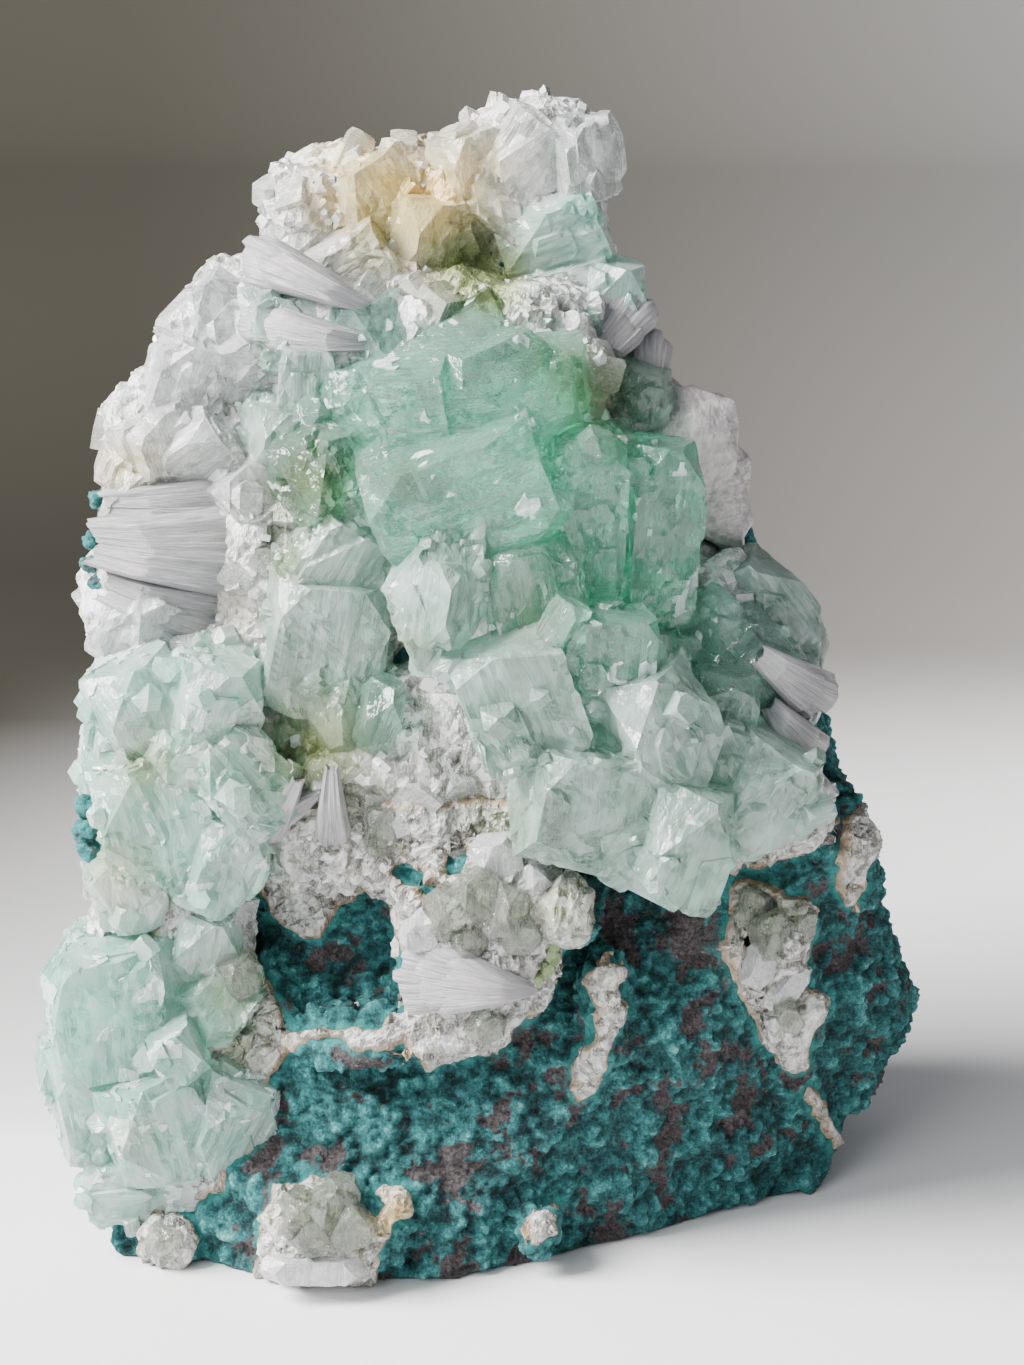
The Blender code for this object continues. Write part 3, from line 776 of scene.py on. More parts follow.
def dress_basalt():
    """The basalt, with its crust of teal knobs and its bare patches."""
    rock = graded_core()
    points, normals = points_of(rock.data), normals_of(rock.data)
    white, teal = whiteness(points, normals)
    hidden = is_bed(points, in_view(points), distances(bed_search, points, 6.0))
    near_white = np.clip(1.0 + np.minimum(white, 0) / 1.6, 0, 1)
    found = [crust_lift(Vector(point)) for point in points]
    lifts, tops, bares = (np.array(values) for values in zip(*found))
    lifts = lifts * (1 - 0.7 * near_white)
    lifts = np.where(white > 0.5, -0.5, lifts)
    lifts = np.where(hidden, -1.6, lifts)
    lifts[points[:, 2] < 0.8] = 0.0
    points += normals * lifts[:, None]
    points[:, 2] = np.maximum(points[:, 2], 0.0)
    set_points(rock.data, points)
    # Knob height for the material: tone, painted light on the tops and painted shade in the grooves.
    carry(rock.data, "knob_shade_and_tone", tops)
    carry(rock.data, "bare", bares)
    carry(rock.data, "halo", smooth_step(white, -1.0, -0.2))
    # Painted shade inside the sunk cavity, on its front-facing walls.
    carry(rock.data, "deep", smooth_step(inside_by(CAVITY, in_view(points)), -0.4, 1.4) * (normals[:, 1] < 0.3))
    shade_smooth(rock.data)
    rock.data.materials.clear()
    rock.data.materials.append(teal_rock)
    return rock


basalt = dress_basalt()
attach(basalt, "root")
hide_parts("basalt_matrix")
print("basalt:", len(basalt.data.polygons), "faces")

# %% [markdown]
# ## White stuffs
#
# The white bed and the fillings are crusts of blocky, frosty crystals. Each cell of a random
# pattern gets its own tilted plane, so the surface breaks into small facets as a real druse
# does. Iron has stained it yellow at the top and olive in the deeper places, and a beige-brown
# skin marks each edge against the rock. Low facets, crevices and a few recessed spots of the bed are painted darker
# as shade.

# %% Materials: white zeolite and filling


def white_stuff(name, dull, light, beige):
    """A frosty white crust: its dull and its light colour, and how beige it is in patches."""
    material, tree, shader = new_material(name, {"IOR": 1.5, "Specular IOR Level": 0.8})
    place = place_in_mm(tree)
    etching = use_group(tree, facet_group, {"Place": place, "Size": 1.3, "Streak": 0.9})
    clouds = noise_value(tree, place, 0.2, 5.0, 0.72, 0.6)
    clouds = math_node(tree, "ADD", clouds, math_node(tree, "MULTIPLY", etching["Shade"], 0.16))
    colour = mixed(tree, between(tree, clouds, 0.42, 0.68), dull, light)
    patches = between(tree, noise_value(tree, place, 0.33, 4.0, 0.7), 0.52, 0.70)
    colour = mixed(tree, math_node(tree, "MULTIPLY", patches, beige), colour, (0.27, 0.25, 0.155, 1))
    # Painted shade: low facets, crevices and recessed spots are painted darker.
    colour = mixed(tree, stored(tree, "painted_dip_shade"), colour, (0.13, 0.125, 0.10, 1))
    colour = mixed(tree, math_node(tree, "MULTIPLY", etching["Frost"], 0.45), colour, (0.80, 0.81, 0.82, 1))
    colour = mixed(tree, stored(tree, "yellow"), colour, (0.66, 0.46, 0.15, 1))
    colour = mixed(tree, stored(tree, "olive"), colour, (0.20, 0.24, 0.10, 1))
    edge = math_node(tree, "MULTIPLY", stored(tree, "rim"), between(tree, clouds, 0.3, 0.6))
    colour = mixed(tree, edge, colour, (0.30, 0.21, 0.13, 1))
    tree.links.new(colour, shader.inputs["Base Color"])
    tree.links.new(mixed_value(tree, etching["Shade"], 0.08, 0.5), shader.inputs["Roughness"])
    give_relief(tree, shader, etching["Height"], 0.8)
    return material


white_zeolite = white_stuff("white zeolite", (0.24, 0.25, 0.23, 1), (0.73, 0.73, 0.74, 1), 0.15)
grey_druse = white_stuff("grey white druse", (0.10, 0.10, 0.085, 1), (0.33, 0.325, 0.31, 1), 0.75)
pale_filling = white_stuff("pale filling", (0.09, 0.09, 0.075, 1), (0.38, 0.37, 0.34, 1), 0.6)

# %% Facets for a druse


def hashed(place, salt):
    """A steady random number between 0 and 1 for a cell of a pattern."""
    value = math.sin(place.x * 12.9898 + place.y * 78.233 + place.z * 37.719 + salt) * 43758.5453
    return value - math.floor(value)


def facets(point, size):
    """A surface of small tilted planes, one to a cell, as a height in cell sizes."""
    distance, centres = noise.voronoi(point / size)
    centre = centres[0]
    way = Vector([hashed(centre, salt) - 0.5 for salt in (1.0, 2.0, 3.0)])
    return (point / size - centre).dot(way) * 1.6 + 0.5 * hashed(centre, 4.0) - 0.4 * distance[0]


def stain_at(points, spots):
    """How strongly each point is stained, from spots of the front view: across, up, radius, strength."""
    view = in_view(points)
    total = np.zeros(len(points))
    for across, up, radius, strength in spots:
        away = np.hypot(view[:, 0] - across, view[:, 1] - up) / radius
        total += strength * np.exp(-away * away)
    return np.clip(total, 0, 1)


# Spots of painted shade where the bed lies recessed: across, up, radius, strength.
PAINTED_SHADE_SPOTS = ((-4, 68, 11, 0.85), (-21, 88, 10, 0.8), (16, 62, 8, 0.4), (30, 118, 7, 0.5), (-17, 60, 6, 0.5))
YELLOW_SPOTS = (
    (-14, 146, 7.5, 0.85), (-8, 143, 6.0, 0.6), (0, 149, 6.0, 0.5), (-2, 140, 7.0, 0.5), (-46, 109, 4.0, 0.5),
    (-33, 90, 5.0, 0.2), (-47, 55, 5.0, 0.4), (-10, 9, 3.0, 0.7), (-42, 70, 5.0, 0.3), (8, 90, 5.0, 0.25),
)
OLIVE_SPOTS = (
    (-1, 136, 5.0, 1.0), (4, 133, 5.0, 0.9), (-12, 139, 4.0, 0.5), (-21, 71, 8.0, 1.0), (17, 119, 6.0, 0.9), (-21.5, 107, 6.0, 0.95),
    (4, 62, 5.0, 0.4), (12, 50, 4.0, 0.5), (-20, 9, 4.0, 0.5), (40, 50, 4.0, 0.5), (-25, 96, 3.5, 0.6),
    (-9, 108, 2.5, 0.6), (-8, 85, 3.0, 0.5), (-44, 68, 3.5, 0.6), (-32, 39, 4.5, 0.7), (9, 123, 4.0, 0.4), (-31, 31, 3.5, 0.4), (-45, 20, 4.0, 0.25),
)

# %% Crusts: the white areas of the core, lifted and given thickness


def unpinched(bm):
    """Removes faces until no point joins two separate patches, so that a skin can be thickened."""
    while True:
        pinched = [point for point in bm.verts if sum(edge.is_boundary for edge in point.link_edges) > 2]
        if not pinched:
            return
        bmesh.ops.delete(bm, geom=list({face for point in pinched for face in point.link_faces}), context="FACES")


SWELLS = ((12.5, 49.3, 4.2, 4.8, 2.4), (-3.0, 51.0, 7.0, 5.0, 0.9), (41.0, 45.0, 4.0, 5.0, 0.8))


def crust_piece(name, outline, material):
    """A white crust on the core, inside one outline."""
    bm = bmesh.new()
    bm.from_mesh(core.data)
    spots = core_view
    within = np.minimum(inside_by(outline, spots) + 1.5, core_white + 1.1)
    keep = within > 0
    bm.verts.ensure_lookup_table()
    drop = [face for face in bm.faces if not all(keep[vertex.index] for vertex in face.verts)]
    bmesh.ops.delete(bm, geom=drop, context="FACES")
    unpinched(bm)
    bmesh.ops.subdivide_edges(bm, edges=bm.edges[:], cuts=1, use_grid_fill=True)
    mesh = bpy.data.meshes.new(name)
    bm.to_mesh(mesh)
    bm.free()
    made = link(bpy.data.objects.new(name, mesh))
    points, normals = points_of(mesh), normals_of(mesh)
    white, teal = whiteness(points, normals)
    view = in_view(points)
    white = np.minimum(white, inside_by(outline, view) + 0.8)
    low_left = smooth_step(view[:, 0], -24.0, -30.0)
    swell = 1.0 + 0.6 * smooth_step(white, 0.5, 4.0)
    for across, up, wide, high, height in SWELLS:
        away = np.hypot((view[:, 0] - across) / wide, (view[:, 1] - up) / high)
        swell += height * smooth_step(away, 1.0, 0.5)
    lifts = -1.1 + (1.1 + swell) * smooth_step(white, -0.5, 0.8)
    rough = np.array([0.75 * facets(Vector(point), 2.4) + 0.5 * facets(Vector(point), 1.1) for point in points])
    lifts += (rough - 0.2) * smooth_step(white, -0.2, 1.2)
    points += normals * lifts[:, None]
    points[:, 2] = np.maximum(points[:, 2], 0.0)
    set_points(mesh, points)
    carry(mesh, "yellow", stain_at(points, YELLOW_SPOTS))
    carry(mesh, "olive", stain_at(points, OLIVE_SPOTS))
    carry(mesh, "rim", 1 - smooth_step(white, 0.2, 1.0))
    # Painted shade in the low facets of the crust.
    carry(mesh, "painted_dip_shade", smooth_step(rough, -0.15, -0.75))
    solidify = made.modifiers.new("thickness", "SOLIDIFY")
    solidify.thickness = 1.6 * MM
    solidify.offset = -1.0
    settle(made)
    points = points_of(made.data)
    points[:, 2] = np.maximum(points[:, 2], 0.0)
    set_points(made.data, points)
    made.data.materials.clear()
    made.data.materials.append(material)
    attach(made, "root")
    print(name, len(made.data.polygons), "faces")
    return made


for node in FILLING_NODES:
    filling = crust_piece(node + "_crust", WHITE_OUTLINES[node], pale_filling)
    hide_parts(node)
pocket_crust = crust_piece("white_crust_pocket", WHITE_OUTLINES["pocket"], grey_druse)
for area in ("vein", "ledge"):
    crust_piece("white_crust_" + area, WHITE_OUTLINES[area], pale_filling)

# %% The white bed
BROWN_HOLLOW = ((408, 140), (420, 128), (436, 132), (452, 150), (446, 166), (424, 164), (410, 156))
blacks = tree_of("basalt_matrix")


def dress_bed():
    """The white bed, with its facets and stains."""
    bed = refined("zeolite_bed", "white_zeolite_bed", 0.8, 4)
    points, normals = points_of(bed.data), normals_of(bed.data)
    near_rock = distances(blacks, points, 6.0)
    view = in_view(points)
    lifts = []
    for point in points:
        spot = Vector(point)
        lift = 2.0 * facets(spot, 5.5) + 0.45 * facets(spot, 2.2) + 0.6 * noise.noise(spot / 9.0)
        lifts.append(lift)
    low_front = (view[:, 0] > -26) & (view[:, 0] < 22) & (view[:, 1] < 57) & (normals[:, 1] < 0.3)
    lifts = np.where(low_front, -2.5, np.array(lifts))
    points += normals * lifts[:, None]
    hollow = smooth_step(inside_by(BROWN_HOLLOW, view), -0.2, 2.0) * (normals[:, 1] < 0.4)
    points[:, 1] += 5.0 * hollow
    set_points(bed.data, points)
    carry(bed.data, "yellow", np.clip(stain_at(points, YELLOW_SPOTS), 0, 1))
    carry(bed.data, "olive", stain_at(points, OLIVE_SPOTS))
    carry(bed.data, "rim", np.maximum(np.clip(1.3 - near_rock / 1.0, 0, 1), hollow))
    # Painted shade in the low facets and in the recessed spots of the bed.
    carry(bed.data, "painted_dip_shade", np.clip(smooth_step(lifts, -0.5, -1.8) + stain_at(points, PAINTED_SHADE_SPOTS), 0, 0.85))
    bed.data.materials.clear()
    bed.data.materials.append(white_zeolite)
    return bed


bed = dress_bed()
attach(bed, "root")
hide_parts("zeolite_bed")
print("bed:", len(bed.data.polygons), "faces")
bpy.data.objects.remove(core)


def surface_of(*things):
    """A search tree over dressed pieces, in millimetres."""
    points, faces = [], []
    for thing in things:
        start = len(points)
        points += [tuple(point) for point in points_of(thing.data)]
        faces += [[start + v for v in polygon.vertices] for polygon in thing.data.polygons]
    return BVHTree.FromPolygons(points, faces)


def depth_at(surface, across, up):
    """The depth at which a line of sight through the front view first meets a surface."""
    eye = EYE - CENTRE
    ray = seen(across, up, 60.0) - eye
    place = surface.ray_cast(eye, ray.normalized())[0]
    return place.y + CENTRE.y


white_front = surface_of(bed, pocket_crust)

# %% [markdown]
# ## Apophyllite crystals
#
# Apophyllite is tetragonal: a square prism whose corners are cut by steep pyramid faces. The
# green crystals here are stepped and broken, because smaller ones grew onto them almost
# parallel. So each listed crystal gets a few such neighbours and some chipped corners, and all
# of them are fused into one closed body, which glass needs to refract well.

# %% The crystals, as in the solid model
Crystal = namedtuple("Crystal", "across up back wide deep tall lean toward roll point milk")
MAIN_CRYSTALS = (
    Crystal(1, 118, -22, 19, 18, 26, 84, 10, 20, 0.7, 0.25),
    Crystal(-1, 106, -28, 16, 15, 23, 70, 4, 15, 0.3, 0.0),
    Crystal(14.6, 100, -24, 9.5, 12, 27, 3, 5, 10, 0.2, 0.2),
    Crystal(23.6, 98.8, -19, 10, 11, 27, 4, 0, 25, 0.4, 0.05),
    Crystal(-4.5, 92, -33, 12, 12, 20, 188, 8, 30, 0.85, 0.6),
    Crystal(6.5, 78, -37, 14, 9, 16, -20, 5, 5, 0.1, 0.55),
    Crystal(17, 84, -33, 12, 12, 12, 5, 5, 15, 0.15, 0.25),
    Crystal(8, 92, -29, 11, 12, 15, -10, 5, 10, 0.3, 0.3),
    Crystal(26, 84, -25, 5, 8, 5, 0, 0, 10, 0.3, 0.4),
    Crystal(18, 117, -7, 14, 12, 14, 20, 5, 30, 0.4, 0),
    Crystal(11, 127, -5, 9, 9, 13, 80, 10, 20, 0.5, 0.1),
    Crystal(0, 127, -12, 8, 9, 10, 60, 5, 10, 0.5, 0.35),
    Crystal(-12, 127, -12, 10, 10, 13, -70, 10, 25, 0.6, 0.1),
    Crystal(-14, 117.5, -18, 11, 12, 16, 42, 10, 40, 0.8, 0),
    Crystal(-22, 121, -14, 7, 9, 9, 5, 5, 5, 0.15, 0.8),
    Crystal(-23, 126, -9, 10, 11, 13, -80, 5, 20, 0.5, 0.65),
    Crystal(-26, 113, -14, 8, 10, 9, 10, 5, 30, 0.3, 0.5),
    Crystal(-18, 107, -20, 14, 13, 17, -25, 10, 30, 0.5, 0.1),
    Crystal(-18, 95, -22, 13, 12, 15, 30, 5, 20, 0.4, 0.65),
    Crystal(-20, 86, -23, 15, 13, 18, 10, 5, 15, 0.3, 0.7),
    Crystal(-17, 76, -23, 12, 12, 13, -20, 10, 35, 0.5, 0.6),
    Crystal(-12.5, 76, -29, 5, 7, 10, 20, 10, 20, 0.6, 0.25),
    Crystal(-21, 70, -20, 11, 11, 12, 50, 0, 30, 0.5, 0.5),
    Crystal(-13, 69, -20, 8, 9, 10, -60, 0, 20, 0.5, 0.6),
    Crystal(14, 65, -35, 15, 15, 16, 10, 5, 20, 0.25, 0.55),
    Crystal(24, 74, -33, 13, 14, 17, -15, 5, 30, 0.4, 0.7),
    Crystal(27, 60, -35, 12, 15, 16, 20, 5, 25, 0.5, 0.6),
    Crystal(33, 77, -25, 8, 11, 10, 10, 0, 10, 0.3, 0.3),
    Crystal(38, 66, -28, 12, 14, 15, 30, 5, 25, 0.4, 0.5),
    Crystal(32, 70, -30, 9, 10, 10, -30, 5, 30, 0.4, 0.55),
    Crystal(20, 60, -35, 10, 11, 10, 40, 5, 20, 0.4, 0.6),
    Crystal(35.5, 83, -14, 12, 14, 22, -38, 5, 20, 0.6, 0.15),
    Crystal(39, 79, -17, 10, 12, 14, -34, 5, 30, 0.4, 0.3),
    Crystal(39.5, 89, -8, 9, 13, 18, -36, 5, 25, 0.5, 0.5),
)
LEFT_CRYSTALS = (
    Crystal(-44, 77, -25, 12, 12, 13, -20, 5, 25, 0.4, 0.7),
    Crystal(-35, 78, -27, 11, 12, 13, 15, 10, 30, 0.4, 0.75),
    Crystal(-43, 63, -28, 14, 14, 16, -10, 5, 15, 0.4, 0.25),
    Crystal(-31, 67, -28, 11, 12, 14, -35, 5, 25, 0.3, 0.45),
    Crystal(-34, 57, -28, 10, 12, 13, 20, 5, 30, 0.4, 0.7),
    Crystal(-46, 53, -24, 10, 12, 10, -8, 0, 10, 0.1, 0.9),
    Crystal(-47, 70, -22, 8, 12, 12, 10, 0, 20, 0.4, 0.7),
    Crystal(-38, 71, -28, 9, 12, 10, 40, 5, 20, 0.4, 0.7),
)
CORNER_CRYSTALS = (
    Crystal(-47, 38.5, -26, 19, 17, 17, -5, 5, 15, 0.2, 0.2),
    Crystal(-50, 26, -24, 12, 14, 18, -8, 5, 20, 0.3, 0.55),
    Crystal(-39, 31, -34, 6, 8, 7, -25, 5, 5, 0.1, 0.2),
    Crystal(-34, 37, -27, 11, 12, 14, 60, 5, 30, 0.8, 0.1),
    Crystal(-42, 22, -30, 14, 13, 15, -15, 5, 25, 0.4, 0.35),
    Crystal(-33, 23, -28, 11, 13, 14, 25, 5, 30, 0.4, 0.5),
    Crystal(-43, 15.5, -25, 9, 14, 16, 82, 0, 10, 0.2, 0.85),
    Crystal(-36, 46, -24, 9, 12, 10, 15, 5, 20, 0.4, 0.5),
)
TOP_CRYSTALS = (
    Crystal(11, 140, 2, 12, 12, 14, 70, 5, 20, 0.3, 0.35),
    Crystal(11, 149, 3, 6, 8, 7, 10, 5, 20, 0.3, 0.6),
    Crystal(11, 133, 1, 7, 10, 15, 75, 5, 10, 0.5, 0.8),
    Crystal(18.5, 132, -1, 7, 10, 9, 10, 5, 20, 0.4, 0.7),
)
print("crystals listed:", sum(map(len, (MAIN_CRYSTALS, LEFT_CRYSTALS, CORNER_CRYSTALS, TOP_CRYSTALS))))

# %% One crystal, cut from a block
PYRAMID_LEAN = math.radians(60.4)
Block = namedtuple("Block", "size point turn chips")


def turned(lean, toward, roll):
    """The turn of a crystal or a blade, from three angles in degrees."""
    leaning = Matrix.Rotation(math.radians(lean), 4, "Y")
    tipping = Matrix.Rotation(math.radians(toward), 4, "X")
    rolling = Matrix.Rotation(math.radians(roll), 4, "Z")
    return leaning @ tipping @ rolling


def pyramid_planes(size, point):
    """The eight pyramid faces of a crystal, as a way and a reach from its middle."""
    corner = math.hypot(size[0], size[1]) / 2
    reach = size[2] / 2 * math.cos(PYRAMID_LEAN) + (1 - point) * corner * math.sin(PYRAMID_LEAN)
    for end in (1, -1):
        for quarter in range(4):
            heading = math.radians(45 + 90 * quarter)
            level = math.sin(PYRAMID_LEAN)
            yield Vector((math.cos(heading) * level, math.sin(heading) * level, end * math.cos(PYRAMID_LEAN))), reach


def cut_block(block, chance):
    """A bmesh of one crystal with its pyramid faces and a few chipped corners."""
    own = bmesh.new()
    bmesh.ops.create_cube(own, size=1.0)
    bmesh.ops.scale(own, vec=block.size, verts=own.verts)
    planes = [(way, reach * chance.uniform(0.97, 1.03)) for way, reach in pyramid_planes(block.size, block.point)]
    for _ in range(block.chips):
        way = Vector([chance.choice((-1, 1)) * chance.uniform(0.2, 1.0) * side for side in block.size]).normalized()
        reach = max(way.dot(vertex.co) for vertex in own.verts)
        planes.append((way, reach - chance.uniform(0.06, 0.3) * min(block.size)))
    for way, reach in planes:
        geometry = own.verts[:] + own.edges[:] + own.faces[:]
        cut = bmesh.ops.bisect_plane(
            own, geom=geometry, dist=0.0001, plane_co=way * reach, plane_no=way, clear_outer=True
        )
        rim = [item for item in cut["geom_cut"] if isinstance(item, bmesh.types.BMEdge)]
        if rim:
            bmesh.ops.holes_fill(own, edges=rim)
    bmesh.ops.transform(own, matrix=block.turn, verts=own.verts)
    bmesh.ops.recalc_face_normals(own, faces=own.faces)
    return own


def grown_on(crystal, chance, count):
    """The crystal itself, and smaller ones that grew onto it almost parallel."""
    size = Vector((crystal.wide, crystal.deep, crystal.tall))
    place = Matrix.Translation(seen(crystal.across, crystal.up, crystal.back))
    turn = place @ turned(crystal.lean, crystal.toward, crystal.roll)
    yield Block(size, crystal.point, turn, 6)
    for _ in range(count):
        share = Vector([chance.uniform(0.28, 0.62) for _ in range(3)])
        own = Vector([size[axis] * share[axis] for axis in range(3)])
        axis = chance.choice((0, 1, 1, 2))
        shift = Vector([chance.uniform(-0.5, 0.5) * (size[n] - own[n]) for n in range(3)])
        side = chance.choice((-1, 1))
        shift[axis] = side * ((size[axis] - own[axis]) / 2 + chance.uniform(0.2, 1.0))
        tilt = turned(chance.uniform(-4, 4), chance.uniform(-4, 4), chance.uniform(-4, 4))
        yield Block(own, chance.uniform(0.1, 0.6), turn @ Matrix.Translation(shift) @ tilt, 3)


# %% Fusing crystals into one body


def united(blocks, chance):
    """One closed body from many blocks, joined two by two."""
    waiting = []
    for block in blocks:
        bm = cut_block(block, chance)
        mesh = bpy.data.meshes.new("block")
        bm.to_mesh(mesh)
        bm.free()
        waiting.append(link(bpy.data.objects.new("block", mesh)))
    while len(waiting) > 1:
        joined = []
        for first, second in zip(waiting[::2], waiting[1::2]):
            boolean = first.modifiers.new("join", "BOOLEAN")
            boolean.operation = "UNION"
            boolean.solver = "MANIFOLD"
            boolean.object = second
            settle(first)
            bpy.data.objects.remove(second)
            joined.append(first)
        if len(waiting) % 2:
            joined.append(waiting[-1])
        waiting = joined
    return waiting[0]


def fine_grained(bm, longest):
    """Splits long edges until the faces are small, and keeps the creases sharp."""
    bmesh.ops.triangulate(bm, faces=bm.faces[:])
    for edge in bm.edges:
        edge.smooth = edge.calc_face_angle(0.0) < math.radians(20)
    for face in bm.faces:
        face.smooth = True
    for _ in range(9):
        long = [edge for edge in bm.edges if edge.calc_length() > longest]
        if not long:
            break
        bmesh.ops.subdivide_edges(bm, edges=long, cuts=1, use_single_edge=True)
        bmesh.ops.triangulate(bm, faces=[face for face in bm.faces if len(face.verts) > 3])


def own_places(points, crystals):
    """Each point's place along the axes of the crystal that it belongs to."""
    best = np.full(len(points), 1e9)
    own = np.zeros((len(points), 3))
    turns = np.zeros((len(points), 3, 3))
    milk = np.zeros(len(points))
    for number, crystal in enumerate(crystals):
        middle = np.array(seen(crystal.across, crystal.up, crystal.back))
        turn = np.array(turned(crystal.lean, crystal.toward, crystal.roll).to_3x3())
        local = (points - middle) @ turn
        size = np.array((crystal.wide, crystal.deep, crystal.tall))
        outside = np.max(np.abs(local) - size / 2, axis=1)
        for way, reach in pyramid_planes(size, crystal.point):
            outside = np.maximum(outside, local @ np.array(way) - reach)
        closer = np.abs(outside) < best
        best[closer] = np.abs(outside)[closer]
        own[closer] = local[closer] + number * 17.0
        turns[closer] = turn
        milk[closer] = crystal.milk
    return own, turns, milk


def etched(points, normals, own, turns, wear):
    """How far each point of a crystal stands out: streaks on its sides, broken steps in places."""
    lifts = []
    for point, normal, place, turn in zip(points, normals, own, turns):
        way = normal @ turn
        spot = Vector(point)
        streak = noise.noise(Vector((place[0] * 1.1, place[1] * 1.1, place[2] * 0.08)))
        end = abs(way[2])
        broken = min(1.0, max(0.05, wear + 2.4 * noise.noise(spot / 7.0)))
        steps = 0.9 * facets(Vector(place), 3.4) + 0.3 * facets(spot, 1.7)
        lifts.append(0.3 * streak * (1 - end) + steps * broken - 0.25 * broken)
    return np.array(lifts)


def milkiness(points, milk):
    """How milky each point is: its crystal's own share, with clouds through it."""
    clouds = [noise.fractal(Vector(point) / 5.5, 0.7, 2.3, 3) for point in points]
    return np.clip(milk * 0.8 + 0.8 * np.array(clouds), 0, 1)


def grow_cluster(name, crystals, material, seed, steps=4, longest=1.2, wear=0.2):
    """A cluster of crystals: fused, refined and etched."""
    chance = random.Random(seed)
    blocks = [block for crystal in crystals for block in grown_on(crystal, chance, steps)]
    body = united(blocks, chance)
    bm = bmesh.new()
    bm.from_mesh(body.data)
    fine_grained(bm, longest)
    bm.to_mesh(body.data)
    bm.free()
    body.name = name
    points = points_of(body.data) * MM
    normals = normals_of(body.data)
    own, turns, milk = own_places(points, crystals)
    points += normals * etched(points, normals, own, turns, wear)[:, None]
    set_points(body.data, points)
    carry(body.data, "own", own)
    carry(body.data, "milk", milkiness(points, milk))
    carry(body.data, "yellow", stain_at(points, YELLOW_SPOTS))
    carry(body.data, "olive", stain_at(points, OLIVE_SPOTS))
    body.data.polygons.foreach_set("use_smooth", [False] * len(body.data.polygons))
    body.data.materials.clear()
    body.data.materials.append(material)
    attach(body, "root")
    print(name, len(body.data.polygons), "faces")
    return body


# %% [markdown]
# ### Mint glass
#
# The crystals are glass with a tint: light enters, bends, loses its red and comes back green.
# They are also cloudy, with milky veils and etched, frosted patches. So transmission and
# absorption are plain fixed values, and the clouds and frost steer only colour, roughness and
# relief.

# %% Material: mint apophyllite


def mint_glass(name, clear, milky, through, tint, density, frosted):
    """Tinted crystal: its clear and milky colours, and how much light goes through."""
    material, tree, shader = new_material(name, {"IOR": 1.535, "Transmission Weight": through})
    own = stored(tree, "own", "Vector")
    etching = use_group(tree, facet_group, {"Place": own, "Size": 2.2, "Streak": 0.9, "Stretch": 0.15})
    frost = math_node(tree, "MULTIPLY", etching["Frost"], frosted)
    milk = math_node(tree, "MAXIMUM", stored(tree, "milk"), frost)
    colour = mixed(tree, milk, clear, milky)
    colour = mixed(tree, stored(tree, "yellow"), colour, (0.84, 0.70, 0.34, 1))
    colour = mixed(tree, stored(tree, "olive"), colour, (0.30, 0.37, 0.16, 1))
    tree.links.new(colour, shader.inputs["Base Color"])
    rough = math_node(tree, "MAXIMUM", frost, math_node(tree, "MULTIPLY", etching["Shade"], 0.25))
    tree.links.new(mixed_value(tree, rough, 0.03, 0.45), shader.inputs["Roughness"])
    give_relief(tree, shader, etching["Height"], 0.4)
    absorption = add_node(tree, "VolumeAbsorption", {"Color": tint, "Density": density})
    tree.links.new(absorption.outputs["Volume"], tree.nodes["Material Output"].inputs["Volume"])
    return material


mint = mint_glass(
    "mint crystal", (0.54, 0.88, 0.76, 1), (0.84, 0.96, 0.92, 1), 0.88, (0.28, 0.93, 0.76, 1), 62.0, 0.25
)
milky_mint = mint_glass(
    "milky mint crystal", (0.24, 0.38, 0.31, 1), (0.72, 0.88, 0.83, 1), 0.62, (0.38, 0.93, 0.76, 1), 50.0, 0.55
)
pale_mint = mint_glass(
    "pale mint crystal", (0.36, 0.74, 0.62, 1), (0.86, 0.96, 0.93, 1), 0.64, (0.30, 0.94, 0.79, 1), 42.0, 0.55
)
frosty = mint_glass(
    "frosty white crystal", (0.52, 0.56, 0.53, 1), (0.92, 0.93, 0.95, 1), 0.6, (0.8, 0.9, 0.8, 1), 15.0, 0.8
)
frosted_mint = mint_glass(
    "frosted mint skin", (0.48, 0.74, 0.66, 1), (0.78, 0.89, 0.88, 1), 0.4, (0.5, 0.95, 0.85, 1), 20.0, 1.0
)
clear_grey = mint_glass(
    "clear grey crystal", (0.52, 0.56, 0.46, 1), (0.74, 0.77, 0.72, 1), 0.85, (0.62, 0.82, 0.50, 1), 60.0, 0.6
)
grass_green = mint_glass(
    "grass green crystal", (0.26, 0.40, 0.13, 1), (0.44, 0.54, 0.28, 1), 0.6, (0.35, 0.8, 0.2, 1), 120.0, 0.4
)

# %% The clusters
MILKY_FROM = 0.45
clear_crystals = tuple(crystal for crystal in MAIN_CRYSTALS if crystal.milk < MILKY_FROM)
milky_crystals = tuple(crystal for crystal in MAIN_CRYSTALS if crystal.milk >= MILKY_FROM)
clusters = {}
for name, node, crystals, material, seed, wear in (
    ("apophyllite_clear_crystals", "apophyllite_main", clear_crystals, mint, 11, 0.0),
    ("apophyllite_milky_crystals", "apophyllite_main", milky_crystals, milky_mint, 16, 0.28),
    ("apophyllite_left_cluster", "apophyllite_left", LEFT_CRYSTALS, pale_mint, 12, 0.38),
    ("apophyllite_corner_cluster", "apophyllite_corner", CORNER_CRYSTALS, pale_mint, 13, 0.12),
    ("apophyllite_top_crystals", "apophyllite_top", TOP_CRYSTALS, pale_mint, 14, 0.2),
):
    clusters[name] = grow_cluster(name, crystals, material, seed, wear=wear)
    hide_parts(node)

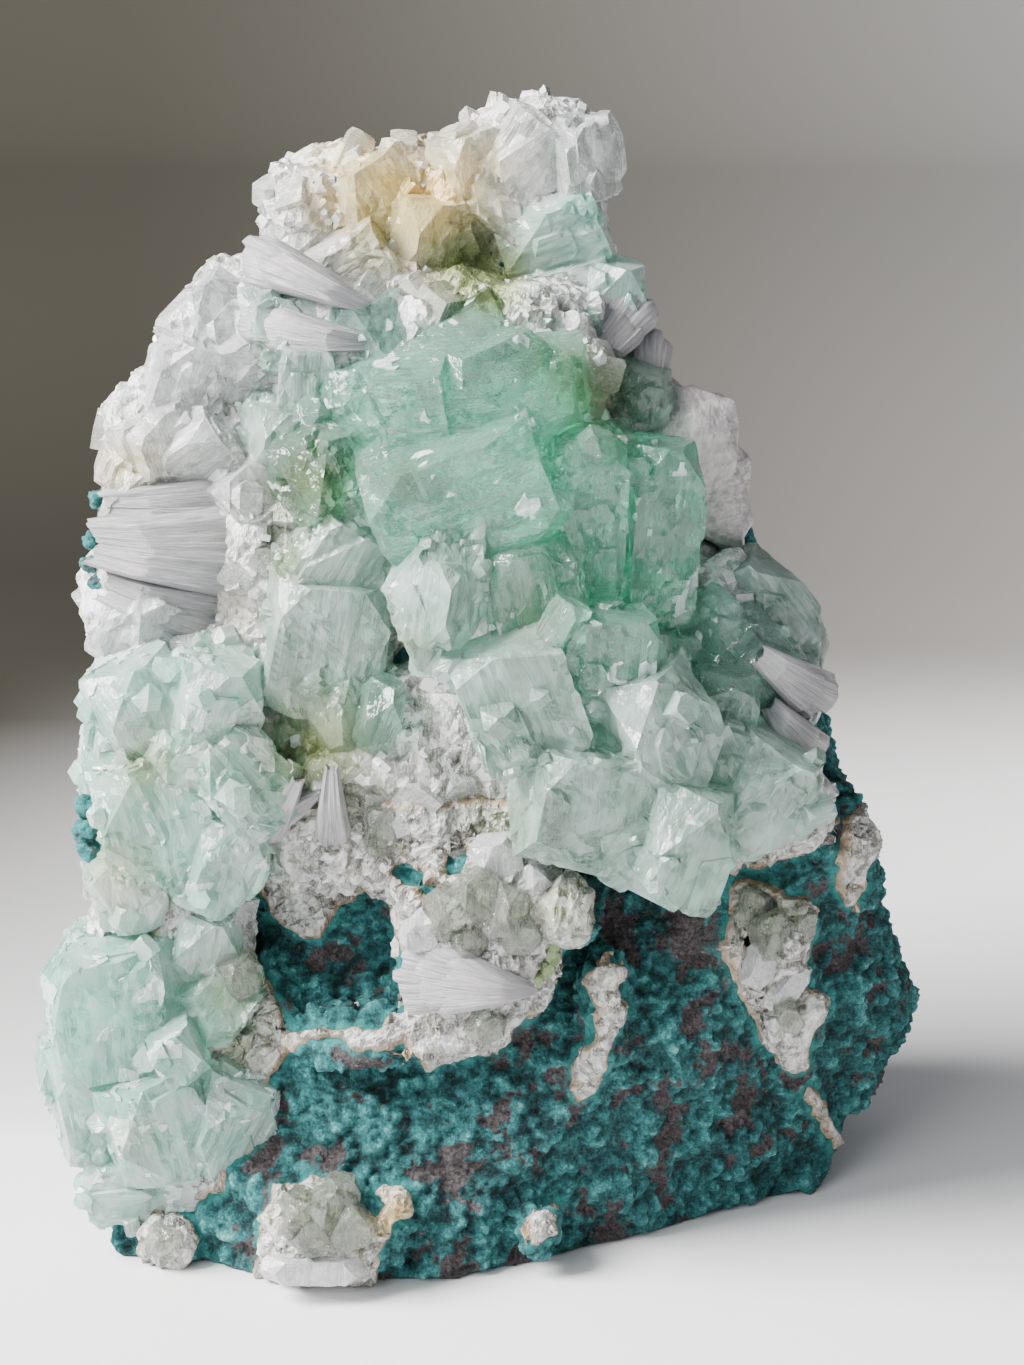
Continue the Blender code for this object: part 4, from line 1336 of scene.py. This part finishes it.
FROSTY_PLACES = (
    (-21, 137, 11, 10, 12, 20, 30), (-13, 145, 11, 9, 9, -30, 20), (-15, 134, 12, 9, 11, 60, 10),
    (-5, 140, 12, 9, 10, 10, 40), (1, 149, 11, 9, 10, -15, 25), (8, 151, 11, 9, 9, 35, 15),
    (14.5, 150, 9, 9, 11, -8, 30), (5, 144, 10, 8, 12, -50, 20), (-24, 130, 10, 9, 11, 70, 35),
    (-34, 127, 12, 10, 12, -40, 30), (-37, 120, 12, 9, 12, 20, 20), (-31, 122, 11, 9, 11, 75, 25),
    (-41, 112, 11, 9, 10, -20, 35), (-44, 104, 9, 8, 10, 15, 20), (-36, 110, 12, 8, 10, 55, 30),
    (-43, 85.5, 15, 9, 8, 25, 10), (-40, 88, 14, 8, 8, 32, 25), (-35, 84, 10, 8, 9, -15, 20),
    (-46, 109, 6, 6, 7, 20, 30), (-38, 105, 8, 7, 9, 30, 10), (-29, 104, 8, 7, 10, -35, 25),
)


def frosty_crystals():
    """The larger frosty crystals, each half sunk in the bed where the view meets it."""
    for number, (across, up, wide, deep, tall, lean, roll) in enumerate(FROSTY_PLACES):
        back = depth_at(white_front, across, up) + 0.32 * deep
        yield Crystal(across, up, back, wide, deep, tall, lean, 5, roll, 0.3, 0.2 + 0.1 * (number % 6))


frosty_mass = grow_cluster("frosty_crystals", tuple(frosty_crystals()), frosty, 15, 3, 1.3, 0.3)

# %% Frosted skins


def frosted_skin(body, name, level, seed):
    """Frosted patches: thin rough skins over the broken parts of a cluster."""
    points = points_of(body.data)
    shift = Vector((seed, 2 * seed, 3 * seed))
    frost = np.array([noise.fractal(Vector(point) / 5.5 + shift, 0.5, 2.3, 4) for point in points])
    bm = bmesh.new()
    bm.from_mesh(body.data)
    bm.verts.ensure_lookup_table()
    drop = [face for face in bm.faces if not all(frost[vertex.index] > level for vertex in face.verts)]
    bmesh.ops.delete(bm, geom=drop, context="FACES")
    unpinched(bm)
    bmesh.ops.delete(bm, geom=[point for point in bm.verts if not point.link_faces], context="VERTS")
    mesh = bpy.data.meshes.new(name)
    bm.to_mesh(mesh)
    bm.free()
    skin = link(bpy.data.objects.new(name, mesh))
    points, normals = points_of(mesh), normals_of(mesh)
    rough = np.array([facets(Vector(point), 1.5) + 0.4 * hashed(Vector(point), 5.0) for point in points])
    points += normals * (0.12 + 0.3 * np.clip(rough, -0.3, 1))[:, None]
    set_points(mesh, points)
    mesh.attributes["milk"].data.foreach_set("value", np.full(len(points), 0.6, np.float32))
    solidify = skin.modifiers.new("thickness", "SOLIDIFY")
    solidify.thickness = 0.4 * MM
    solidify.offset = -1.0
    settle(skin)
    skin.data.materials.clear()
    skin.data.materials.append(frosted_mint)
    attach(skin, "root")
    print(name, len(skin.data.polygons), "faces")


frosted_skin(clusters["apophyllite_clear_crystals"], "frosted_main_skin", 0.52, 1.7)
frosted_skin(clusters["apophyllite_left_cluster"], "frosted_left_skin", 0.28, 2.9)
frosted_skin(clusters["apophyllite_corner_cluster"], "frosted_corner_skin", 0.32, 4.1)

# %% [markdown]
# ### Small crystals
#
# Between the large crystals and all over the white bed sit hundreds of small ones. A few shapes
# are cut once, and copies of them are turned, sized and joined into one mesh. Each copy stands
# on a random spot of its host's surface, sunk a little, with its axis near the surface normal.

# %% Scattering small crystals


def cut_shapes(chance, proportions, count, point=(0.1, 0.8)):
    """A few crystal shapes of about unit size, as arrays of points and lists of faces."""
    shapes = []
    for _ in range(count):
        size = [side * chance.uniform(0.8, 1.2) for side in proportions]
        bm = cut_block(Block(size, chance.uniform(*point), Matrix.Identity(4), 2), chance)
        bm.verts.ensure_lookup_table()
        points = np.array([vertex.co[:] for vertex in bm.verts])
        shapes.append((points, [[vertex.index for vertex in face.verts] for face in bm.faces]))
        bm.free()
    return shapes


def spots_on(host, count, wanted, seed):
    """Random spots on a host's surface, with their normals, where they are wanted."""
    mesh = host.data
    mesh.calc_loop_triangles()
    points = points_of(mesh)
    corners = np.empty(len(mesh.loop_triangles) * 3, np.int32)
    mesh.loop_triangles.foreach_get("vertices", corners)
    first, second, third = (points[corners.reshape(-1, 3)[:, n]] for n in range(3))
    across = np.cross(second - first, third - first)
    area = np.linalg.norm(across, axis=1)
    middles = (first + second + third) / 3
    normals = across / np.maximum(area, 1e-9)[:, None]
    weight = area * wanted(middles, normals)
    chance = np.random.default_rng(seed)
    chosen = chance.choice(len(area), size=count, p=weight / weight.sum())
    return middles[chosen], normals[chosen]


def scatter(name, host, count, wanted, shapes, sizes, material, seed, lean=0.6, sink=0.15, milk=(0.2, 0.9)):
    """Small crystals on a host, joined in one mesh."""
    chance = random.Random(seed)
    points, faces, own, milks = [], [], [], []
    start = 0
    for number, (place, normal) in enumerate(zip(*spots_on(host, count, wanted, seed))):
        shape, shape_faces = shapes[chance.randrange(len(shapes))]
        size = sizes[0] + (sizes[1] - sizes[0]) * chance.random() ** 2.2
        way = Vector(normal) + Vector([chance.uniform(-lean, lean) for _ in range(3)])
        turn = way.to_track_quat("Z", "Y").to_matrix() @ Matrix.Rotation(chance.uniform(0, 6.3), 3, "Z")
        sized = shape * size
        points.append(sized @ np.array(turn).T + place + np.array(way.normalized()) * size * sink)
        own.append(sized + number * 7.7)
        milks.append(np.full(len(shape), chance.uniform(*milk)))
        faces += [tuple(start + corner for corner in face) for face in shape_faces]
        start += len(shape)
    mesh = bpy.data.meshes.new(name)
    mesh.from_pydata((np.vstack(points) * MM).tolist(), [], faces)
    carry(mesh, "own", np.vstack(own))
    carry(mesh, "milk", np.concatenate(milks))
    carry(mesh, "yellow", stain_at(np.vstack(points), YELLOW_SPOTS))
    carry(mesh, "olive", stain_at(np.vstack(points), OLIVE_SPOTS))
    mesh.materials.append(material)
    made = link(bpy.data.objects.new(name, mesh))
    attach(made, "root")
    print(name, len(faces), "faces")
    return made


def everywhere(points, normals):
    """Every place is wanted."""
    return np.ones(len(points))


def open_bed(points, normals):
    """Where the bed lies open: away from the rock's side, and not behind."""
    view = in_view(points)
    sunk = (view[:, 0] > -26) & (view[:, 0] < 22) & (view[:, 1] < 58)
    return np.where(sunk | (normals[:, 1] > 0.85), 0.0, 1.0)


white_grain, tree, shader = new_material(
    "frosty white grain", {"Base Color": (0.58, 0.59, 0.585, 1), "Roughness": 0.15, "Specular IOR Level": 0.8}
)
chance = random.Random(60)
prisms = cut_shapes(chance, (1.0, 1.0, 1.3), 7)
cubes = cut_shapes(chance, (1.0, 1.0, 0.8), 7, (0.0, 0.35))
for name, host, count, slot, material in (
    ("small_mint_crystals", "apophyllite_clear_crystals", 36, "apophyllite", mint),
    ("small_milky_crystals", "apophyllite_milky_crystals", 70, "apophyllite", milky_mint),
    ("small_left_crystals", "apophyllite_left_cluster", 50, "apophyllite_pale", pale_mint),
    ("small_corner_crystals", "apophyllite_corner_cluster", 30, "apophyllite_pale", pale_mint),
):
    small = scatter(name, clusters[host], count, everywhere, prisms, (0.9, 4.2), material, 70, 0.5, -0.1)
blocks = scatter("frosty_blocks", bed, 260, open_bed, cubes, (2.0, 5.5), frosty, 80, 0.7, -0.3, (0.0, 0.8))
grains = scatter("frosty_grains", bed, 900, open_bed, cubes, (0.7, 2.2), white_grain, 81, 0.9, -0.1, (0.0, 0.9))

# %% Crystals in the hollows
Stone = namedtuple("Stone", "across up wide deep tall lean toward roll milk")
CLEAR_STONES = (
    Stone(-3.0, 49.5, 5, 5, 6.5, 20, 10, 30, 0.1), Stone(1.0, 52.0, 6, 5, 5.5, -35, 5, 20, 0.2),
    Stone(4.5, 50.0, 5, 5, 7.0, 12, -10, 50, 0.1), Stone(6.5, 46.5, 4.5, 4, 5.0, 60, 0, 10, 0.3),
    Stone(-0.5, 45.5, 4.5, 4, 4.0, -10, 5, 40, 0.2), Stone(1.9, 34.5, 4.5, 4, 4.0, 30, 0, 20, 0.0),
    Stone(-22.8, 9.0, 5, 5, 6.0, 15, 0, 25, 0.2), Stone(-18.8, 9.8, 6, 5, 5.0, -25, 5, 35, 0.1),
    Stone(-16.0, 7.4, 5, 4, 5.5, 40, 0, 15, 0.3), Stone(-21.0, 6.2, 5, 4, 4.5, -50, 5, 10, 0.2),
    Stone(-17.5, 11.8, 4, 4, 5.0, 10, 0, 45, 0.4), Stone(37.5, 50.2, 4.5, 4, 5.0, 25, 5, 20, 0.3),
    Stone(40.2, 46.5, 5, 4, 6.0, -15, 0, 30, 0.2), Stone(42.5, 35.6, 5, 3, 3.0, 65, 5, 10, 0.1),
    Stone(44.5, 47.7, 2.6, 3, 4.0, 10, 0, 10, 0.0), Stone(-40.8, 5.8, 4.5, 4, 4.0, 20, 0, 30, 0.3),
    Stone(-30.6, 41.0, 5, 4, 5.0, -20, 0, 30, 0.2), Stone(-12.0, 60.5, 4.5, 4, 6.0, 5, 0, 20, 0.2),
)
FROSTY_STONES = (
    Stone(3.2, 56.0, 5.5, 5, 6.5, -12, 5, 25, 0.7), Stone(-20.8, 2.2, 14, 5, 3.2, 2, 0, 4, 0.8),
    Stone(8.5, 53.5, 4, 4, 4.0, 30, 0, 40, 0.8), Stone(-6.5, 47.0, 4, 4, 5.0, 40, 5, 10, 0.6),
    Stone(38.5, 42.5, 4, 3, 6.0, 20, 0, 30, 0.7), Stone(42.5, 40.0, 3, 3, 6.5, 35, 0, 20, 0.6),
)
GREEN_STONES = (
    Stone(9.9, 41.6, 1.8, 1.6, 2.4, 20, 0, 30, 0.2), Stone(10.8, 43.4, 1.4, 1.4, 2.0, -30, 0, 10, 0.4),
    Stone(8.9, 40.4, 1.4, 1.3, 1.8, 60, 0, 20, 0.3), Stone(11.2, 45.0, 1.3, 1.2, 1.7, 20, 0, 10, 0.2),
)


def set_stones(name, stones, material):
    """Single crystals, each half sunk in the surface where the view meets it, as one mesh."""
    chance = random.Random(90)
    bm = bmesh.new()
    own, milk = [], []
    for number, stone in enumerate(stones):
        size = (stone.wide, stone.deep, stone.tall)
        back = depth_at(finished_front, stone.across, stone.up) + 0.1 * stone.deep
        turn = Matrix.Translation(seen(stone.across, stone.up, back)) @ turned(stone.lean, stone.toward, stone.roll)
        piece = cut_block(Block(size, 0.4, turn, 3), chance)
        fine_grained(piece, 1.6)
        made = bpy.data.meshes.new("stone")
        piece.to_mesh(made)
        piece.free()
        bm.from_mesh(made)
        places = points_of(made) * MM
        own.append(places - places.mean(axis=0) + 7.7 * number)
        milk.append(np.full(len(places), stone.milk))
    mesh = bpy.data.meshes.new(name)
    bm.to_mesh(mesh)
    bm.free()
    points = points_of(mesh) * MM
    points += normals_of(mesh) * np.array([0.25 * facets(Vector(point), 1.8) for point in points])[:, None]
    points[:, 2] = np.maximum(points[:, 2], 0.0)
    set_points(mesh, points)
    carry(mesh, "own", np.vstack(own))
    carry(mesh, "milk", np.concatenate(milk))
    carry(mesh, "yellow", stain_at(points, YELLOW_SPOTS))
    mesh.polygons.foreach_set("use_smooth", [False] * len(mesh.polygons))
    mesh.materials.append(material)
    made = link(bpy.data.objects.new(name, mesh))
    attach(made, "root")
    print(name, len(mesh.polygons), "faces")


fillings = [thing for thing in bpy.data.objects if thing.name.endswith("_crust") and thing.type == "MESH"]
finished_front = surface_of(bed, basalt, pocket_crust, *fillings, *clusters.values())
set_stones("clear_grey_crystals", CLEAR_STONES, clear_grey)
set_stones("frosty_hollow_crystals", FROSTY_STONES, frosty)
set_stones("grass_green_crystals", GREEN_STONES, grass_green)

# %% Teal knobs along the left edge
RIM_KNOBS = (
    (-49.8, 104.6, 1.5), (-50.6, 98.8, 1.8), (-50.8, 96.0, 1.7), (-50.4, 93.4, 1.4), (-51.2, 63.5, 1.9),
    (-51.2, 60.4, 1.8), (-51.0, 57.6, 1.5),
)
RIM_BACK = 3.0


def rim_knobs():
    """Small lumps of the teal crust that peep out beside the white bed, as one mesh."""
    bm = bmesh.new()
    for across, up, radius in RIM_KNOBS:
        back = depth_at(finished_front, across + 3.0, up) + RIM_BACK
        place = Matrix.Translation(seen(across, up, back))
        bmesh.ops.create_icosphere(bm, subdivisions=4, radius=radius, matrix=place)
    mesh = bpy.data.meshes.new("teal_rim_knobs")
    bm.to_mesh(mesh)
    bm.free()
    points = points_of(mesh) * MM
    set_points(mesh, points)
    lifts, tops, bares = (np.array(values) for values in zip(*[crust_lift(Vector(point)) for point in points]))
    points += normals_of(mesh) * (0.6 * lifts)[:, None]
    set_points(mesh, points)
    # Knob height raised a little, so these lumps get more painted light on their tops.
    carry(mesh, "knob_shade_and_tone", tops + 0.2)
    carry(mesh, "bare", bares)
    carry(mesh, "halo", np.full(len(points), 0.6))
    carry(mesh, "deep", np.zeros(len(points)))
    shade_smooth(mesh)
    mesh.materials.append(teal_rock)
    made = link(bpy.data.objects.new("teal_rim_knobs", mesh))
    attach(made, "root")
    print(made.name, len(mesh.polygons), "faces")


rim_knobs()

# %% [markdown]
# ## Stilbite
#
# Stilbite grows as thin blades that fan out from a root, satin white, sometimes faintly pink.
# Here a fan is a few stacked plates, each spreading from its root over a range of angles, thinning
# towards its rim and split into bundles of slightly different length. The plates carry their places along the
# fibres, so the fibres in the material follow them.

# %% Material: satin fibres
def satin_fibres(name, deep, bright, blush):
    """Fine satin fibres along the places that the mesh carries, with a faint blush."""
    material, tree, shader = new_material(name, {"Specular IOR Level": 0.8})
    own = stored(tree, "own", "Vector")
    along = add_node(tree, "VectorMath", {0: own, 1: (4.0, 4.0, 0.25)}, operation="MULTIPLY").outputs[0]
    fibres = noise_value(tree, along, 1.0, 4.0, 0.6)
    blotch = noise_value(tree, own, 0.25, 3.0)
    colour = mixed(tree, between(tree, fibres, 0.35, 0.65), deep, bright)
    colour = mixed(tree, between(tree, blotch, 0.5, 0.8), colour, blush)
    tree.links.new(colour, shader.inputs["Base Color"])
    tree.links.new(mixed_value(tree, fibres, 0.28, 0.5), shader.inputs["Roughness"])
    give_relief(tree, shader, fibres, 0.6)
    return material


satin = satin_fibres("satin stilbite", (0.19, 0.187, 0.20, 1), (0.40, 0.395, 0.41, 1), (0.41, 0.375, 0.365, 1))
ball_satin = satin_fibres("pearly stilbite", (0.31, 0.29, 0.29, 1), (0.58, 0.55, 0.545, 1), (0.56, 0.49, 0.47, 1))
print("satin materials:", satin.name, ball_satin.name)

# %% Fans
FAN_FIELDS = "across up back long lean_from lean_to toward thick layers round inner yaw"
Fan = namedtuple("Fan", FAN_FIELDS, defaults=(0.03, 0))
FANS = {
    "stilbite_fan": (
        Fan(-66, 100.5, -16, 38, 82, 107, -8, 10.0, 1, 12, 0.44),
        Fan(-63, 103.5, -14, 33, 80, 98, -10, 8.0, 1, 12, 0.46),
        Fan(-62, 97.5, -15, 32, 98, 118, -4, 8.0, 1, 12, 0.46),
    ),
    "stilbite_upper_left": (
        Fan(-6, 127, -12, 27, -76, -58, -8, 5.0, 2, 8, 0.36),
        Fan(-5, 125, -12, 26, -92, -74, -6, 5.0, 2, 8, 0.4),
    ),
    "stilbite_upper_right": (
        Fan(8, 114, -6, 24, 20, 52, -6, 5.0, 2, 7, 0.45),
        Fan(23, 108, -3, 20, -12, 16, -4, 5.0, 1, 7, 0.45),
    ),
    "stilbite_spray": (
        Fan(33, 88, -20, 19, 112, 140, -6, 3.5, 2, 7, 0.42),
        Fan(36, 82, -22, 17, 125, 155, -6, 3.5, 2, 7, 0.42),
    ),
    "stilbite_sheaf": (
        Fan(-18.5, 74, -31.5, 18, 170, 192, 8, 4.0, 1, 4, 0.3),
        Fan(-21, 71, -30.5, 15, 194, 222, 8, 4.0, 1, 4, 0.3),
        Fan(-19, 66, -30, 12, 222, 262, 12, 3.5, 1, 4, 0.1),
    ),
}
FIBRE = 0.4
BUNDLE = 1.5


def fan_plate(fan, chance, layer):
    """One fibrous plate that spreads from its root: points, faces and places along the fibres."""
    low, high = math.radians(fan.lean_from), math.radians(fan.lean_to)
    shrink = 1 - 0.13 * layer
    low, high = low + chance.uniform(0, 0.12) * (high - low), high - chance.uniform(0, 0.12) * (high - low)
    rim = fan.long * shrink * (high - low)
    columns, rows = max(10, int(rim / FIBRE)), max(10, int(fan.long / 0.8))
    bundle = (np.arange(columns + 1) * rim / columns / BUNDLE + chance.uniform(0, 9)).astype(int)
    length = {number: chance.uniform(0.94, 1.0) for number in set(bundle.tolist())}
    stands = {number: chance.uniform(-0.05, 0.05) for number in set(bundle.tolist())}
    points, own = [], []
    for side in (-1, 1):
        for column in range(columns + 1):
            share = column / columns
            angle = low + (high - low) * share
            reach = fan.long * shrink * length[int(bundle[column])] * (1 - 0.3 * (share - 0.5) ** 2)
            edge = min(1.0, 6 * share + 0.25, 6 * (1 - share) + 0.25)
            for row in range(rows + 1):
                out = fan.inner + (1 - fan.inner) * row / rows
                thick = fan.thick * edge * math.sqrt(max(0.02, 1 - out ** fan.round)) * min(1, 0.3 + 2 * row / rows)
                rib = 0.14 * noise.noise(Vector((share * rim / 0.9, out * 1.5, layer * 5.0 + fan.across)))
                height = side * thick / 2 - (stands[int(bundle[column])] + rib) * min(1.0, 2 * out)
                height -= fan.long * 0.08 * math.sin(math.pi * out)
                points.append((reach * out * math.sin(angle), height, reach * out * math.cos(angle)))
                own.append((share * rim + fan.up, side * 3.0 + layer * 9.0, reach * out))
    width, sheet = rows + 1, (columns + 1) * (rows + 1)
    faces = []
    for column in range(columns):
        for row in range(rows):
            start = column * width + row
            faces.append((start, start + width, start + width + 1, start + 1))
            faces.append((sheet + start, sheet + start + 1, sheet + start + width + 1, sheet + start + width))
    border = [(row, row + 1) for row in range(rows)]
    border += [(rows + column * width, rows + (column + 1) * width) for column in range(columns)]
    border += [(columns * width + row + 1, columns * width + row) for row in range(rows)]
    border += [((column + 1) * width, column * width) for column in range(columns)]
    faces += [(first, second, sheet + second, sheet + first) for first, second in border]
    tip = Matrix.Rotation(math.radians(fan.toward + chance.uniform(-4, 4)), 3, "X")
    root = seen(fan.across, fan.up, fan.back) + Vector((0, -0.42 * fan.thick * layer, 0))
    tip = Matrix.Rotation(math.radians(fan.yaw), 3, "Z") @ tip
    return np.array(points) @ np.array(tip).T + np.array(root), faces, np.array(own)


def lay_fans(name, fans, material, seed):
    """One mesh of all the plates of some fans."""
    chance = random.Random(seed)
    points, faces, own = [], [], []
    start = 0
    for fan in fans:
        for layer in range(fan.layers):
            shape, shape_faces, places = fan_plate(fan, chance, layer)
            points.append(shape)
            own.append(places)
            faces += [tuple(start + corner for corner in face) for face in shape_faces]
            start += len(shape)
    mesh = bpy.data.meshes.new(name)
    mesh.from_pydata((np.vstack(points) * MM).tolist(), [], faces)
    carry(mesh, "own", np.vstack(own))
    mesh.materials.append(material)
    made = link(bpy.data.objects.new(name, mesh))
    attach(made, "root")
    print(name, len(faces), "faces")
    return made


POCKET_FAN_ROOT = (10.0, 39.6)
POCKET_FAN_TIP = (-8.0, 45.0)
root_depth = depth_at(finished_front, *POCKET_FAN_ROOT)
tip_depth = depth_at(finished_front, *POCKET_FAN_TIP)
yaw = -math.degrees(math.atan2(tip_depth - root_depth, POCKET_FAN_ROOT[0] - POCKET_FAN_TIP[0]))
pocket_fan = Fan(*POCKET_FAN_ROOT, root_depth - 0.6, 20, -104, -60, -8, 2.4, 3, 6, 0.1, yaw)
lay_fans("pocket_fan_fibres", (pocket_fan,), satin, 29)
for seed, (node, fans) in enumerate(FANS.items()):
    sheaf = lay_fans(node + "_fibres", fans, satin, 30 + seed)
    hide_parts(node)

# %% The satin ball
BALL_ROOT = seen(26, 104, 6)


def satin_ball():
    """Two domes of fibres that all grow from one root, so ribs run over them from it."""
    ball = refined("stilbite_ball", "stilbite_ball_fibres", 0.5, 6)
    points, normals = points_of(ball.data), normals_of(ball.data)
    rays = points - np.array(BALL_ROOT)
    reach = np.linalg.norm(rays, axis=1)
    ways = rays / reach[:, None]
    lifts = []
    for way in ways:
        lobe = noise.noise(Vector(way) * 3.0)
        rib = noise.noise(Vector(way) * 9.0) + 0.4 * noise.noise(Vector(way) * 22.0)
        lifts.append(1.1 * lobe + 0.28 * rib)
    points += normals * np.array(lifts)[:, None]
    set_points(ball.data, points)
    carry(ball.data, "own", np.column_stack((ways[:, 0] * 4, ways[:, 2] * 4, reach)))
    shade_smooth(ball.data)
    ball.data.materials.clear()
    ball.data.materials.append(ball_satin)
    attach(ball, "root")
    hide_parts("stilbite_ball")
    print(ball.name, len(ball.data.polygons), "faces")


satin_ball()
